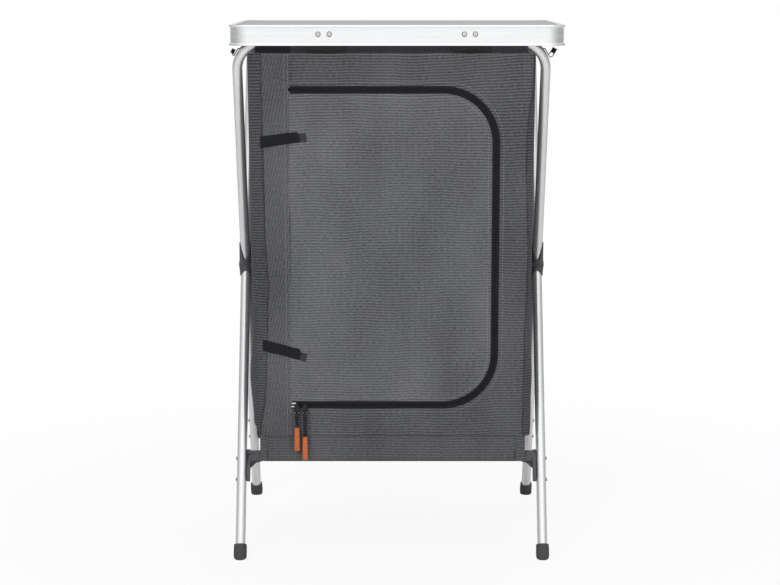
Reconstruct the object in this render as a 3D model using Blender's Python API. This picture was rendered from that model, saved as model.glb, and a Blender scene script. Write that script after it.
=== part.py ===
"""Folding camping cupboard: a cloth cabinet hung between two crossed tube frames, under a hinged top.

Metres, +Z up, the front faces -Y. The origin is on the floor below the middle of the tabletop.
The base frame holds the rear bar and the front feet, and the swing frame the front bar and the rear
feet. The two cross at the hubs and fold like scissors in one plane.
"""
from math import asin, atan2, cos, pi, radians, sin, sqrt, tan

import bmesh
import bpy
from mathutils import Matrix, Vector

# Clearances
touch = 0.0003
running_gap = 0.0005

# Tabletop
top_width = 0.600
top_depth = 0.460
top_height = 0.966
rim_height = 0.0365
rim_corner = 0.035
rim_wall = 0.0015
rim_bead = 0.0020
rim_bead_height = 0.0045
rim_lip = 0.009
board_thickness = 0.006

# Tube frame
tube_radius = 0.009
tube_wall = 0.0012
bend_radius = 0.058
leg_spacing = 0.552
frame_shift = -0.010
pivot_height = 0.509
jog = 0.0132
bar_below_top = 0.027
bar_inset = 0.0186

# Hubs of the crossing
hub_half = 0.0118
hub_collar_wall = 0.0032
hub_plate_radius = 0.0190
hub_collar_start = 0.0205
hub_collar_end = 0.0420
hub_socket_floor = 0.0235
pivot_radius = 0.0040
pivot_head_radius = 0.0080
pivot_head_height = 0.0018

# Feet
foot_wall = 0.0024
foot_height = 0.030
foot_floor = 0.006

# Brackets and rails of the floor of the cabinet
rail_height = 0.1745
rail_radius = 0.0060
rail_wall = 0.0010
rail_seat = 0.012
bracket_plate = 0.0060
bracket_length = 0.058
bracket_width = 0.017
bracket_arm = 0.030
bracket_arm_height = 0.0165

# Clips between the tabletop and the bars
clip_width = 0.070
clip_spacing = 0.260
clip_wall = 0.0030
clip_skirt = 0.0080
clip_side_gap = 0.002
rivet_spacing = 0.018
rivet_radius = 0.0016
rivet_head_radius = 0.0042
rivet_head_height = 0.0014
rivet_above_foot = 0.0205

# Wire catches, whose pins run through the bends of the front bar
wire_radius = 0.00125
catch_below_bar = 0.0180
catch_pin_reach = 0.0161
catch_drop = 0.0112
catch_grip_reach = {"left": 0.0245, "right": 0.0300}
catch_grip_radius = 0.0039
catch_grip_length = 0.0110

# Cloth cabinet
cloth = 0.0020
cabinet_gap_top = 0.0175
cabinet_gap_low = 0.0235
cabinet_corner = 0.020
cabinet_floor_depth = 0.338
front_edge_below_bar = 0.0120
back_edge_below_bar = 0.0300
bend_notch_gap = 0.0030
panel_low_edge = 0.2130
cloth_crown = 0.0050
sleeve_wall = 0.0014

# Door, its zip and its straps
door_left = -0.184
door_right = 0.188
door_low = 0.273
door_below_bar = 0.088
door_corner = 0.095
zip_half = 0.0060
zip_thickness = 0.0010
zip_overlap = 0.0030
zip_end = 0.030
strap_left = -0.2360
strap_length = 0.084
strap_width = 0.021
strap_thickness = 0.0015
strap_below_door = 0.097
strap_upper_tilt = radians(6.0)
strap_lower_height = 0.375
strap_lower_tilt = radians(-10.0)

# Zip sliders and their pulls
slider_inset = 0.0107
slider_pitch = 0.0147
slider_below_zip = 0.0032
slider_clearance = 0.00025
slider_width = 0.0080
slider_height = 0.0110
slider_depth = 0.0034
pull_ring_radius = 0.0022
pull_cord_radius = 0.0012
bridge_radius = 0.0007
pull_cord_left = 0.038
pull_cord_right = 0.055
tab_width = 0.0100
tab_height = 0.043
tab_depth = 0.0040

# Shelves
shelf_thickness = 0.0055
shelf_low_height = 0.222
shelf_mid_height = 0.430
shelf_high_height = 0.670
shelf_side_gap = 0.0008
shelf_corner = 0.018
shelf_front_gap = 0.0080
shelf_stagger = 0.010

# Colours
aluminium = (0.80, 0.81, 0.82)
grey_plastic = (0.10, 0.10, 0.11)
black_plastic = (0.015, 0.015, 0.017)
dark_cloth = (0.085, 0.088, 0.095)
black_tape = (0.012, 0.012, 0.014)
orange_rubber = (0.75, 0.24, 0.06)
board_grey = (0.45, 0.46, 0.47)
hardboard = (0.28, 0.18, 0.10)
steel = (0.55, 0.55, 0.56)

# Places worked out from the sizes
bar_height = top_height - bar_below_top
bar_depth = top_depth / 2 - bar_inset
bar_rise = bar_height - pivot_height
lean = atan2(bar_depth, bar_rise) - asin(jog / sqrt(bar_rise ** 2 + bar_depth ** 2))
sin_lean = sin(lean)
cos_lean = cos(lean)
bar_reach = (bar_rise + jog * sin_lean) / cos_lean
foot_reach = (pivot_height + jog * sin_lean) / cos_lean
leg_inner_face = leg_spacing / 2 - tube_radius
cabinet_width_top = leg_spacing - 2 * cabinet_gap_top
cabinet_width_low = leg_spacing - 2 * cabinet_gap_low
door_high = bar_height - door_below_bar
strap_upper_height = door_high - strap_below_door
rail_reach = (pivot_height - rail_height + jog * sin_lean) / cos_lean
rail_depth = jog * cos_lean + rail_reach * sin_lean
rim_inner = rim_bead + rim_wall
rim_low = top_height - rim_height
board_top = top_height - rim_wall - touch
board_low = board_top - board_thickness
sleeve_radius = tube_radius + touch + sleeve_wall
front_edge = bar_height - front_edge_below_bar
back_edge = bar_height - back_edge_below_bar


def clear_scene():
    for item in list(bpy.data.objects):
        bpy.data.objects.remove(item, do_unlink=True)


def material(name, colour, roughness, metallic=0.0):
    made = bpy.data.materials.get(name)
    if made:
        return made
    made = bpy.data.materials.new(name)
    made.use_nodes = True
    shader = made.node_tree.nodes["Principled BSDF"]
    shader.inputs["Base Color"].default_value = (*colour, 1.0)
    shader.inputs["Roughness"].default_value = roughness
    shader.inputs["Metallic"].default_value = metallic
    return made


def finish(kind):
    looks = {
        "aluminium": (aluminium, 0.28, 1.0),
        "grey_plastic": (grey_plastic, 0.5, 0.0),
        "black_plastic": (black_plastic, 0.45, 0.0),
        "cloth": (dark_cloth, 0.9, 0.0),
        "tape": (black_tape, 0.8, 0.0),
        "orange_rubber": (orange_rubber, 0.5, 0.0),
        "top_board": (board_grey, 0.5, 0.0),
        "hardboard": (hardboard, 0.7, 0.0),
        "steel": (steel, 0.3, 1.0),
    }
    return material(kind, *looks[kind])


def body(name, place, parent=None):
    """An empty on the joint's axis, which carries the pieces of one moving body."""
    empty = bpy.data.objects.new(name, None)
    empty.empty_display_size = 0.05
    bpy.context.collection.objects.link(empty)
    if parent:
        empty.parent = parent
        empty.matrix_parent_inverse = parent.matrix_world.inverted()
    empty.matrix_world = Matrix.Translation(place)
    bpy.context.view_layer.update()
    return empty


def piece(name, mesh_maker, kind, carrier, smooth=False):
    """A named solid, drawn in world coordinates and carried by a body's empty."""
    mesh = mesh_maker if isinstance(mesh_maker, bpy.types.Mesh) else to_mesh(name, mesh_maker)
    item = bpy.data.objects.new(name, mesh)
    bpy.context.collection.objects.link(item)
    item.parent = carrier
    item.matrix_parent_inverse = carrier.matrix_world.inverted()
    mesh.materials.append(finish(kind))
    if smooth:
        mesh.shade_smooth()
        mesh.set_sharp_from_angle(angle=radians(35))
    return item


def to_mesh(name, bm):
    bmesh.ops.recalc_face_normals(bm, faces=bm.faces)
    mesh = bpy.data.meshes.new(name)
    bm.to_mesh(mesh)
    bm.free()
    return mesh


def cutter(name, bm):
    """A hidden solid that a Boolean modifier reads."""
    item = bpy.data.objects.new(name, to_mesh(name, bm))
    bpy.context.collection.objects.link(item)
    item.hide_render = True
    item.display_type = "WIRE"
    item.hide_set(True)
    return item


def boolean(item, other, operation):
    step = item.modifiers.new(operation.title(), "BOOLEAN")
    step.object = other
    step.operation = operation
    step.solver = "EXACT"


def joined(*parts):
    """One bmesh that holds several separate closed bodies."""
    whole = bmesh.new()
    for part in parts:
        mesh = to_mesh("part", part)
        whole.from_mesh(mesh)
        bpy.data.meshes.remove(mesh)
    return whole


def skin_rings(bm, rings, closed_round=True, closed_along=False):
    """Joins rows of vertices with four-sided faces."""
    count = len(rings[0])
    steps = len(rings) if closed_along else len(rings) - 1
    for index in range(steps):
        here = rings[index]
        there = rings[(index + 1) % len(rings)]
        for side in range(count if closed_round else count - 1):
            after = (side + 1) % count
            bm.faces.new((here[side], here[after], there[after], there[side]))


def round_points(centre, across, up, radius, sides, turn=0.0):
    angles = [turn + 2 * pi * index / sides for index in range(sides)]
    return [centre + across * (radius * cos(angle)) + up * (radius * sin(angle)) for angle in angles]


def tube(path, flat_normal, radius, bore=0.0, sides=16):
    """A tube or rod along a path that lies in the plane square to flat_normal."""
    bm = bmesh.new()
    across = Vector(flat_normal).normalized()
    points = [Vector(point) for point in path]
    outer = []
    inner = []
    for index, point in enumerate(points):
        before = points[max(index - 1, 0)]
        after = points[min(index + 1, len(points) - 1)]
        into = (point - before).normalized() if index else (after - point).normalized()
        out_of = (after - point).normalized() if index < len(points) - 1 else into
        along = (into + out_of).normalized()
        up = along.cross(across)
        stretch = 1.0 / max(along.dot(into), 0.5)
        outer.append([bm.verts.new(p) for p in round_points(point, across, up * stretch, radius, sides)])
        if bore:
            inner.append([bm.verts.new(p) for p in round_points(point, across, up * stretch, bore, sides)])
    skin_rings(bm, outer)
    if bore:
        skin_rings(bm, inner)
        for end in (0, -1):
            skin_rings(bm, [outer[end], inner[end]])
    else:
        bm.faces.new(outer[0])
        bm.faces.new(outer[-1])
    return bm


def rod(start, end, radius, bore=0.0, sides=16):
    start = Vector(start)
    end = Vector(end)
    along = (end - start).normalized()
    helper = Vector((0, 0, 1)) if abs(along.z) < 0.9 else Vector((1, 0, 0))
    return tube([start, end], along.cross(helper), radius, bore, sides)


def prism(outline, place, first, second, along, start, end):
    """An outline in the plane of two directions, pushed from start to end along a third."""
    bm = bmesh.new()
    rings = []
    for depth in (start, end):
        rings.append([bm.verts.new(place + first * a + second * b + along * depth) for a, b in outline])
    skin_rings(bm, rings)
    bm.faces.new(rings[0])
    bm.faces.new(rings[1])
    return bm


def box(low, high):
    outline = [(low[0], low[1]), (high[0], low[1]), (high[0], high[1]), (low[0], high[1])]
    return prism(outline, Vector(), x_way, y_way, z_way, low[2], high[2])


def rounded_corners(width, depth, corner, steps):
    """Points round a rectangle with round corners, with the direction that faces outwards at each."""
    points = []
    for quarter in range(4):
        sign_x = (1, -1, -1, 1)[quarter]
        sign_y = (1, 1, -1, -1)[quarter]
        for step in range(steps + 1):
            angle = (quarter + step / steps) * pi / 2
            facing = Vector((cos(angle), sin(angle), 0))
            centre = Vector((sign_x * (width / 2 - corner), sign_y * (depth / 2 - corner), 0))
            points.append((centre, facing))
    return points


x_way = Vector((1, 0, 0))
y_way = Vector((0, 1, 0))
z_way = Vector((0, 0, 1))
sides_of = {"left": -1, "right": 1}


# Tabletop

def rim_profile():
    """The section of the edge extrusion: how far in from the outer face, and the height."""
    ledge = rim_height - rim_wall - board_thickness - 2 * touch
    return [
        (0.0, 0.0),
        (0.0, rim_bead_height - rim_bead),
        (rim_bead, rim_bead_height),
        (rim_bead, rim_height - rim_bead_height - rim_bead),
        (0.0, rim_height - rim_bead_height),
        (0.0, rim_height - rim_wall),
        (rim_wall, rim_height),
        (rim_lip, rim_height),
        (rim_lip, rim_height - rim_wall),
        (rim_inner, rim_height - rim_wall),
        (rim_inner, ledge),
        (rim_lip, ledge),
        (rim_lip, ledge - rim_wall),
        (rim_inner, ledge - rim_wall),
        (rim_inner, 0.0),
    ]


def make_rim():
    bm = bmesh.new()
    rings = []
    for centre, facing in rounded_corners(top_width, top_depth, rim_corner, 5):
        rings.append([bm.verts.new(centre + facing * (rim_corner - inward) + z_way * (rim_low + height))
                      for inward, height in rim_profile()])
    skin_rings(bm, rings, closed_along=True)
    return bm


def make_board():
    bm = bmesh.new()
    inset = rim_inner + touch
    rings = []
    for height in (board_low, board_top):
        rings.append([bm.verts.new(centre + facing * (rim_corner - inset) + z_way * height)
                      for centre, facing in rounded_corners(top_width, top_depth, rim_corner, 5)])
    skin_rings(bm, rings)
    bm.faces.new(rings[0])
    bm.faces.new(rings[1])
    return bm


def clip_roof():
    """Height of a clip's top above the bar; it lies under the lower lip of the rim's board slot."""
    return board_low - touch - rim_wall - touch - bar_height


def clip_wall_face():
    """How far the rim's inner face is from the bar's middle."""
    return top_depth / 2 - rim_inner - touch - bar_depth


def rest_clip_outline():
    """Section of a front clip: it sits on the bar and stops it at the front, and the rear is open."""
    slot = tube_radius + running_gap
    skirt = rim_low - clip_skirt - bar_height
    back = -(slot + clip_wall)
    open_from = radians(112)
    steps = 8
    outline = [(back, clip_roof()), (back, slot * sin(open_from))]
    for step in range(steps + 1):
        angle = open_from * (1 - step / steps)
        outline.append((slot * cos(angle), slot * sin(angle)))
    outline += [(slot, skirt), (clip_wall_face(), skirt), (clip_wall_face(), clip_roof())]
    return outline


def make_rest_clip(side):
    """A saddle riveted inside the front of the rim, which drops over the front bar."""
    place = Vector((0, -bar_depth, bar_height))
    middle = sides_of[side] * clip_spacing / 2
    half = clip_width / 2
    return prism(rest_clip_outline(), place, -y_way, z_way, x_way, middle - half, middle + half)


def hinge_clip_outline():
    """Section of a hinge clip: a block over the rear bar with a strap below it."""
    ring = tube_radius + running_gap + clip_wall
    steps = 10
    outline = [(clip_wall_face(), clip_roof()), (-ring, clip_roof()), (-ring, 0.0)]
    for step in range(1, steps):
        angle = pi + pi * step / steps
        outline.append((ring * cos(angle), ring * sin(angle)))
    outline.append((ring, 0.0))
    outline.append((clip_wall_face(), 0.0))
    return outline


def make_hinge_clip(side):
    place = Vector((0, bar_depth, bar_height))
    middle = sides_of[side] * clip_spacing / 2
    half = clip_width / 2
    return prism(hinge_clip_outline(), place, y_way, z_way, x_way, middle - half, middle + half)


def rivet_places():
    """Two rivets for each rest clip, on the middle plane of the tabletop."""
    for sign in (-1, 1):
        for offset in (-1, 1):
            x = sign * clip_spacing / 2 + offset * rivet_spacing / 2
            yield Vector((x, 0, rim_low + rivet_above_foot))


def make_rivet(place):
    """A blind rivet through the web of the rim into a rest clip."""
    web = top_depth / 2 - rim_bead
    head = place - y_way * (web + touch)
    crown = head - y_way * rivet_head_height
    tail = place - y_way * (web - rim_wall - 4 * rivet_radius)
    profile = [(tail, rivet_radius), (head, rivet_radius), (head, rivet_head_radius),
               (head.lerp(crown, 0.5), rivet_head_radius * 0.9), (crown, rivet_head_radius * 0.5)]
    return turned(profile, 12)


def turned(profile, sides, axis=None):
    """A solid of revolution through (point on the axis, radius) pairs, closed at both ends."""
    bm = bmesh.new()
    along = (profile[-1][0] - profile[0][0]).normalized() if axis is None else axis
    helper = z_way if abs(along.z) < 0.9 else x_way
    across = along.cross(helper).normalized()
    up = along.cross(across)
    rings = [[bm.verts.new(p) for p in round_points(centre, across, up, radius, sides)]
             for centre, radius in profile]
    skin_rings(bm, rings)
    bm.faces.new(rings[0])
    bm.faces.new(rings[-1])
    return bm


# Tube frame

def leg_x(side):
    return frame_shift + sides_of[side] * leg_spacing / 2


def arm_point(facing, above, reach):
    """A point on a tube's axis beside the crossing; facing is -1 to the front and +1 to the rear."""
    level = 1 if above else -1
    y = facing * (jog * cos_lean + reach * sin_lean)
    z = pivot_height + level * (reach * cos_lean - jog * sin_lean)
    return y, z


def make_bar_tube(facing):
    """An upside-down U: two upper legs and the bar under the top, bent from one tube."""
    end_reach = hub_socket_floor + touch
    straight_reach = bar_reach - bend_radius
    points = []
    bend_steps = 7
    for side, sign in (("left", -1), ("right", 1)):
        y, z = arm_point(facing, True, end_reach)
        half = [Vector((leg_x(side), y, z))]
        for step in range(bend_steps + 1):
            angle = pi / 2 * step / bend_steps
            reach = straight_reach + bend_radius * sin(angle)
            y, z = arm_point(facing, True, reach)
            x = leg_x(side) - sign * bend_radius * (1 - cos(angle))
            half.append(Vector((x, y, z)))
        points += half if sign < 0 else half[::-1]
    plane = Vector((0, cos_lean, -facing * sin_lean))
    return tube(points, plane, tube_radius, tube_radius - tube_wall)


def make_leg(side, facing):
    """A straight lower leg from its hub down into its foot."""
    tip = foot_reach - foot_floor / cos_lean - tube_radius * tan(lean)
    start = arm_point(facing, False, hub_socket_floor + touch)
    end = arm_point(facing, False, tip)
    x = leg_x(side)
    bm = tube([(x, *start), (x, *end)], x_way, tube_radius, tube_radius - tube_wall)
    return bm


def make_foot(side, facing):
    """A rubber cap on the leg, its sole cut level with the floor."""
    bm = bmesh.new()
    along = Vector((0, facing * sin_lean, -cos_lean))
    up = along.cross(x_way)
    tip = foot_reach - foot_floor / cos_lean - tube_radius * tan(lean) + touch
    mouth = tip - foot_height + foot_floor
    outer = tube_radius + touch + foot_wall
    bore = tube_radius + touch
    sides = 16

    def ring(reach, radius, to_floor=0.0):
        centre = Vector((leg_x(side), *arm_point(facing, False, reach)))
        points = round_points(centre, x_way, up, radius, sides)
        if to_floor is not None and to_floor >= 0 and reach > foot_reach - 1e-9:
            points = [p + along * (p.z / cos_lean) for p in points]
        return [bm.verts.new(p) for p in points]

    rings = [
        ring(tip, bore),
        ring(mouth, bore),
        ring(mouth, outer),
        ring(tip - 0.002, outer * 1.04),
        ring(foot_reach, outer * 1.0),
    ]
    skin_rings(bm, rings)
    bm.faces.new(rings[0])
    bm.faces.new(rings[-1])
    return bm


# Hubs

def hub_frame(facing):
    """Directions along and across a frame at the crossing; its upper arm leans to facing."""
    along = Vector((0, facing * sin_lean, cos_lean))
    across = Vector((0, facing * cos_lean, -sin_lean))
    return along, across


def make_hub(side, facing, outer_half, carrier, name):
    """Half of a scissor joint: a plate on one side of the plane, and a collar for each tube."""
    along, across = hub_frame(facing)
    outward = x_way * sides_of[side]
    place = Vector((leg_x(side), 0, pivot_height))
    if outer_half:
        low, high = running_gap / 2, hub_half
    else:
        low, high = -hub_half, -running_gap / 2
    collar_radius = tube_radius + touch + hub_collar_wall
    inner_edge = jog - collar_radius
    arm = []
    steps = 12
    for step in range(steps + 1):
        angle = -pi / 2 + pi * step / steps
        arm.append(angle)
    outline = [(inner_edge, hub_plate_radius), (inner_edge, hub_collar_start + 0.004),
               (jog + collar_radius, hub_collar_start + 0.004)]
    outline += [(jog + collar_radius, hub_collar_start * 0.6)]
    outline += [(hub_plate_radius * cos(angle), hub_plate_radius * sin(angle))
                for angle in [pi / 9 - step * (pi * 5 / 9) / 6 for step in range(7)]]
    mirrored = [(-a, -b) for a, b in outline]
    plate = prism(outline + mirrored, place, across, along, outward, low, high)
    item = piece(name, plate, "grey_plastic", carrier)
    for level in (1, -1):
        base = place + across * (level * jog)
        start = base + along * (level * hub_collar_start)
        end = base + along * (level * hub_collar_end)
        boolean(item, cutter(name + "_collar", rod(start, end, collar_radius, sides=20)), "UNION")
    for level in (1, -1):
        base = place + across * (level * jog)
        start = base + along * (level * hub_socket_floor)
        end = base + along * (level * (hub_collar_end + tube_radius))
        bore = rod(start, end, tube_radius + touch, sides=16)
        boolean(item, cutter(name + "_socket", bore), "DIFFERENCE")
    hole = rod(place - outward * hub_half * 2, place + outward * hub_half * 2, pivot_radius + touch, sides=16)
    boolean(item, cutter(name + "_hole", hole), "DIFFERENCE")
    return item


def make_pivot_bolt(side):
    place = Vector((leg_x(side), 0, pivot_height))
    face = hub_half + touch
    spots = [(-face - pivot_head_height, pivot_head_radius * 0.8), (-face, pivot_head_radius),
             (-face, pivot_radius), (face, pivot_radius), (face, pivot_head_radius),
             (face + pivot_head_height, pivot_head_radius * 0.8)]
    return turned([(place + x_way * spot, radius) for spot, radius in spots], 16)


# Brackets and rails

def make_bracket(side, facing, carrier, name):
    """A moulded bracket on the inside of a leg, whose arm takes the end of a floor rail."""
    sign = sides_of[side]
    inward = x_way * -sign
    along = Vector((0, facing * sin_lean, -cos_lean))
    across = along.cross(x_way)
    face = leg_spacing / 2 - tube_radius - touch
    low = rail_reach - bracket_arm_height / 2 - 0.002
    start = Vector((frame_shift + sign * face, *arm_point(facing, False, low)))
    plate_outline = [(-bracket_width / 2, 0), (bracket_width / 2, 0),
                     (bracket_width / 2, bracket_length * 0.85), (bracket_width / 4, bracket_length),
                     (-bracket_width / 4, bracket_length), (-bracket_width / 2, bracket_length * 0.85)]
    plate = prism(plate_outline, start, across, along, inward, 0.0, bracket_plate)
    item = piece(name, plate, "grey_plastic", carrier)
    rail = Vector((frame_shift + sign * face, facing * rail_depth, rail_height))
    half = bracket_arm_height / 2
    reach = bracket_arm
    arm_outline = [(0.0005, half), (reach, half), (reach, -half), (bracket_plate * 1.8, -half),
                   (0.0005, -half * 2.4)]
    arm = prism(arm_outline, rail, inward, z_way, y_way, -half, half)
    boolean(item, cutter(name + "_arm", arm), "UNION")
    seat_start = rail + inward * (reach - rail_seat)
    seat_end = rail + inward * (reach + rail_seat)
    boolean(item, cutter(name + "_seat", rod(seat_start, seat_end, rail_radius + touch)), "DIFFERENCE")
    return item


def rail_half_length():
    face = leg_spacing / 2 - tube_radius - touch
    return face - bracket_arm + rail_seat - touch


def make_rail(facing):
    half = rail_half_length()
    start = Vector((frame_shift - half, facing * rail_depth, rail_height))
    end = Vector((frame_shift + half, facing * rail_depth, rail_height))
    return rod(start, end, rail_radius, rail_radius - rail_wall, 14)


# Cloth cabinet

def cabinet_share(z):
    """0 at the floor rail and 1 at the bar."""
    return (z - rail_height) / (bar_height - rail_height)


def half_width(z):
    low = cabinet_width_low / 2
    return low + (cabinet_width_top / 2 - low) * cabinet_share(z)


def flat_depth(z):
    """How far the outer face of the front or back cloth is from the middle plane."""
    low = cabinet_floor_depth / 2 + rail_radius
    return low + (bar_depth + sleeve_wall - low) * cabinet_share(z)


def crown(x, z):
    """How far the slack of the cloth swells out at a point."""
    share = min(max((z - panel_low_edge) / (front_edge - panel_low_edge), 0.0), 1.0)
    across = min(abs(x) / half_width(z), 1.0)
    return cloth_crown * sin(pi * share) * cos(pi / 2 * across)


def front_face(x, z):
    """The outer face of the front cloth, as a distance in front of the middle plane."""
    edge = half_width(z) - cabinet_corner
    out = flat_depth(z) + crown(x, z)
    past = abs(x) - edge
    if past > 0:
        out -= cabinet_corner - sqrt(max(cabinet_corner ** 2 - past ** 2, 0.0))
    return out


def panel_section(z, inset):
    """Plan of a front or back sheet at one height: across, round both corners."""
    radius = cabinet_corner - inset
    edge = half_width(z) - cabinet_corner
    corner_steps = 4
    straight_steps = 12
    points = []
    for step in range(corner_steps):
        angle = pi / 2 * (1 - step / corner_steps)
        points.append((-edge - radius * sin(angle), radius * cos(angle)))
    for step in range(straight_steps + 1):
        points.append((-edge + 2 * edge * step / straight_steps, radius))
    for step in range(1, corner_steps + 1):
        angle = pi / 2 * step / corner_steps
        points.append((edge + radius * sin(angle), radius * cos(angle)))
    return [(x, flat_depth(z) - cabinet_corner + out + crown(x, z)) for x, out in points]


def make_panel(facing, low_edge, high_edge, rows=9):
    """A sheet of cloth with a swelling middle, turned round the corners of the cabinet."""
    bm = bmesh.new()
    rings = []
    for row in range(rows + 1):
        z = low_edge + (high_edge - low_edge) * row / rows
        outer = [bm.verts.new((frame_shift + x, facing * y, z)) for x, y in panel_section(z, 0.0)]
        inner = [bm.verts.new((frame_shift + x, facing * y, z)) for x, y in panel_section(z, cloth)]
        rings.append(outer + inner[::-1])
    skin_rings(bm, rings)
    for ring in (rings[0], rings[-1]):
        count = len(ring) // 2
        for index in range(count - 1):
            bm.faces.new((ring[index], ring[index + 1], ring[-index - 2], ring[-index - 1]))
    return bm


def make_side(side):
    """A side wall between the turned edges of the front and back sheets."""
    bm = bmesh.new()
    sign = sides_of[side]
    rings = []
    rows = 6
    high_edge = back_edge
    for row in range(rows + 1):
        z = panel_low_edge + (high_edge - panel_low_edge) * row / rows
        reach = flat_depth(z) - cabinet_corner - touch
        outer = half_width(z)
        steps = 8
        ring = []
        for depth in (outer, outer - cloth):
            row_points = []
            for step in range(steps + 1):
                y = -reach + 2 * reach * step / steps
                row_points.append(bm.verts.new((frame_shift + sign * depth, y, z)))
            ring += row_points if depth == outer else row_points[::-1]
        rings.append(ring)
    skin_rings(bm, rings)
    for ring in (rings[0], rings[-1]):
        count = len(ring) // 2
        for index in range(count - 1):
            bm.faces.new((ring[index], ring[index + 1], ring[-index - 2], ring[-index - 1]))
    return bm


def make_bend_notches():
    """The room above the cloth's top corners, where the front tube bends down into the legs."""
    radius = bend_radius - tube_radius - bend_notch_gap
    steps = 6
    turns = [radians(64) * step / steps for step in range(steps + 1)]
    parts = []
    for side, sign in sides_of.items():
        centre = leg_x(side) - sign * bend_radius
        outline = [(centre + sign * radius * sin(turn), bar_height - (bend_radius - radius * cos(turn)) * cos_lean)
                   for turn in turns]
        outer = leg_x(side) + sign * tube_radius
        outline += [(outer, outline[-1][1]), (outer, top_height), (centre, top_height)]
        parts.append(prism(outline, Vector(), x_way, z_way, -y_way, 0.0, top_depth))
    return joined(*parts)


def door_outline(grow, left):
    """The door's line, wider by grow at the zip; left is where it stops beside the fold."""
    radius = door_corner + grow
    steps = 8
    points = [(left, door_low - grow)]
    for middle_z, start in ((door_low + door_corner, -pi / 2), (door_high - door_corner, 0.0)):
        middle_x = door_right - door_corner
        for step in range(steps + 1):
            angle = start + pi / 2 * step / steps
            points.append((middle_x + radius * cos(angle), middle_z + radius * sin(angle)))
    points.append((left, door_high + grow))
    return points


def door_cutter(name, grow, left):
    place = Vector((frame_shift, 0, 0))
    low = cabinet_floor_depth / 4
    return cutter(name, prism(door_outline(grow, left), place, x_way, z_way, -y_way, low, top_depth))


def make_zip_tape(first, second, start_left):
    """A flat tape beside the zip's line, from first to second away from it, on the cloth."""
    bm = bmesh.new()
    rings = []
    inner = door_outline(first, start_left)
    outer = door_outline(second, start_left)
    near = dense(inner, 0.05)
    far = dense(outer, 0.05)
    for (ax, az), (bx, bz) in zip(near, far):
        ring = []
        for x, z, lift in ((ax, az, touch), (bx, bz, touch), (bx, bz, touch + zip_thickness),
                           (ax, az, touch + zip_thickness)):
            ring.append(bm.verts.new((frame_shift + x, -(front_face(x, z) + lift), z)))
        rings.append(ring)
    skin_rings(bm, rings)
    bm.faces.new(rings[0])
    bm.faces.new(rings[-1])
    return bm


def dense(outline, longest):
    """The outline with long runs split, so that a tape can follow the swell of the cloth."""
    points = [outline[0]]
    for after in outline[1:]:
        before = points[-1]
        length = sqrt((after[0] - before[0]) ** 2 + (after[1] - before[1]) ** 2)
        pieces = max(int(length / longest + 0.5), 1)
        for step in range(1, pieces + 1):
            share = step / pieces
            points.append((before[0] + (after[0] - before[0]) * share,
                           before[1] + (after[1] - before[1]) * share))
    return points


def fold_line(x):
    """Point and direction of a straight line up the front cloth, clear in front of its swell."""
    lift = fold_swell(x) + touch
    start = Vector((frame_shift + x, -(flat_depth(door_low) + lift), door_low))
    end = Vector((frame_shift + x, -(flat_depth(door_high) + lift), door_high))
    return start, (end - start).normalized()


def fold_swell(x):
    """The most that the cloth swells out along an upright line in the height of the door."""
    return max(crown(x, door_low + (door_high - door_low) * step / 20) for step in range(21))


def strap_hinge(height):
    """Where a strap's sewn end turns: in front of the corner seam, on a line beside the door's fold."""
    start, upward = fold_line(door_left)
    base = start + upward * ((height - start.z) / upward.z)
    return Vector((frame_shift + strap_left, base.y, height))


def make_strap(height, tilt):
    """A webbing strap sewn at the corner seam, lying across the fold of the door."""
    upward = fold_line(door_left)[1]
    outward = x_way.cross(upward).normalized()
    lift = max(crown(strap_left + strap_length, height) - fold_swell(door_left), 0.0)
    along = x_way * cos(tilt) + upward * sin(tilt)
    across = outward.cross(along).normalized()
    place = strap_hinge(height) + outward * lift
    half = strap_width / 2
    outline = [(0, -half), (strap_length, -half * 0.92), (strap_length, half * 0.92), (0, half)]
    return prism(outline, place, along, across, outward, 0.0, strap_thickness)


# Zip sliders and pulls

def slider_place(number):
    """The back of a slider's body, on the outer tape at the low left end of the zip."""
    x = door_left + slider_inset + number * slider_pitch
    z = door_low - slider_below_zip
    y = -(front_face(x, z) + 2 * touch + zip_thickness + slider_clearance)
    return Vector((frame_shift + x, y, z))


def make_slider(number):
    place = slider_place(number)
    half = slider_width / 2
    tall = slider_height / 2
    outline = [(-half, -tall * 0.5), (-half * 0.6, -tall), (half * 0.6, -tall), (half, -tall * 0.5),
               (half, tall * 0.6), (half * 0.5, tall), (-half * 0.5, tall), (-half, tall * 0.6)]
    return prism(outline, place, x_way, z_way, -y_way, 0.0, slider_depth)


def pull_eye(number):
    """Where a pull hangs, just in front of its slider."""
    return slider_place(number) - y_way * (slider_depth + touch + pull_ring_radius + pull_cord_radius)


def make_pull_cord(number, length):
    """A cord folded over the slider's bridge, whose two ends run down to the tab."""
    eye = pull_eye(number)
    foot = pull_cord_radius + touch
    steps = 8
    points = [eye + y_way * foot - z_way * length]
    for step in range(steps + 1):
        angle = pi * step / steps
        points.append(eye + y_way * (pull_ring_radius * cos(angle)) + z_way * (pull_ring_radius * sin(angle)))
    points.append(eye - y_way * foot - z_way * length)
    return tube(points, x_way, pull_cord_radius, sides=8)


def make_slider_bridge(number):
    """The wire arch on a slider's face that its pull hangs from."""
    eye = pull_eye(number)
    half = pull_cord_radius + 2 * bridge_radius
    back = slider_place(number).y - slider_depth / 2
    points = [(eye.x - half, back, eye.z), (eye.x - half, eye.y, eye.z),
              (eye.x + half, eye.y, eye.z), (eye.x + half, back, eye.z)]
    return tube(points, z_way, bridge_radius, sides=8)


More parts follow.
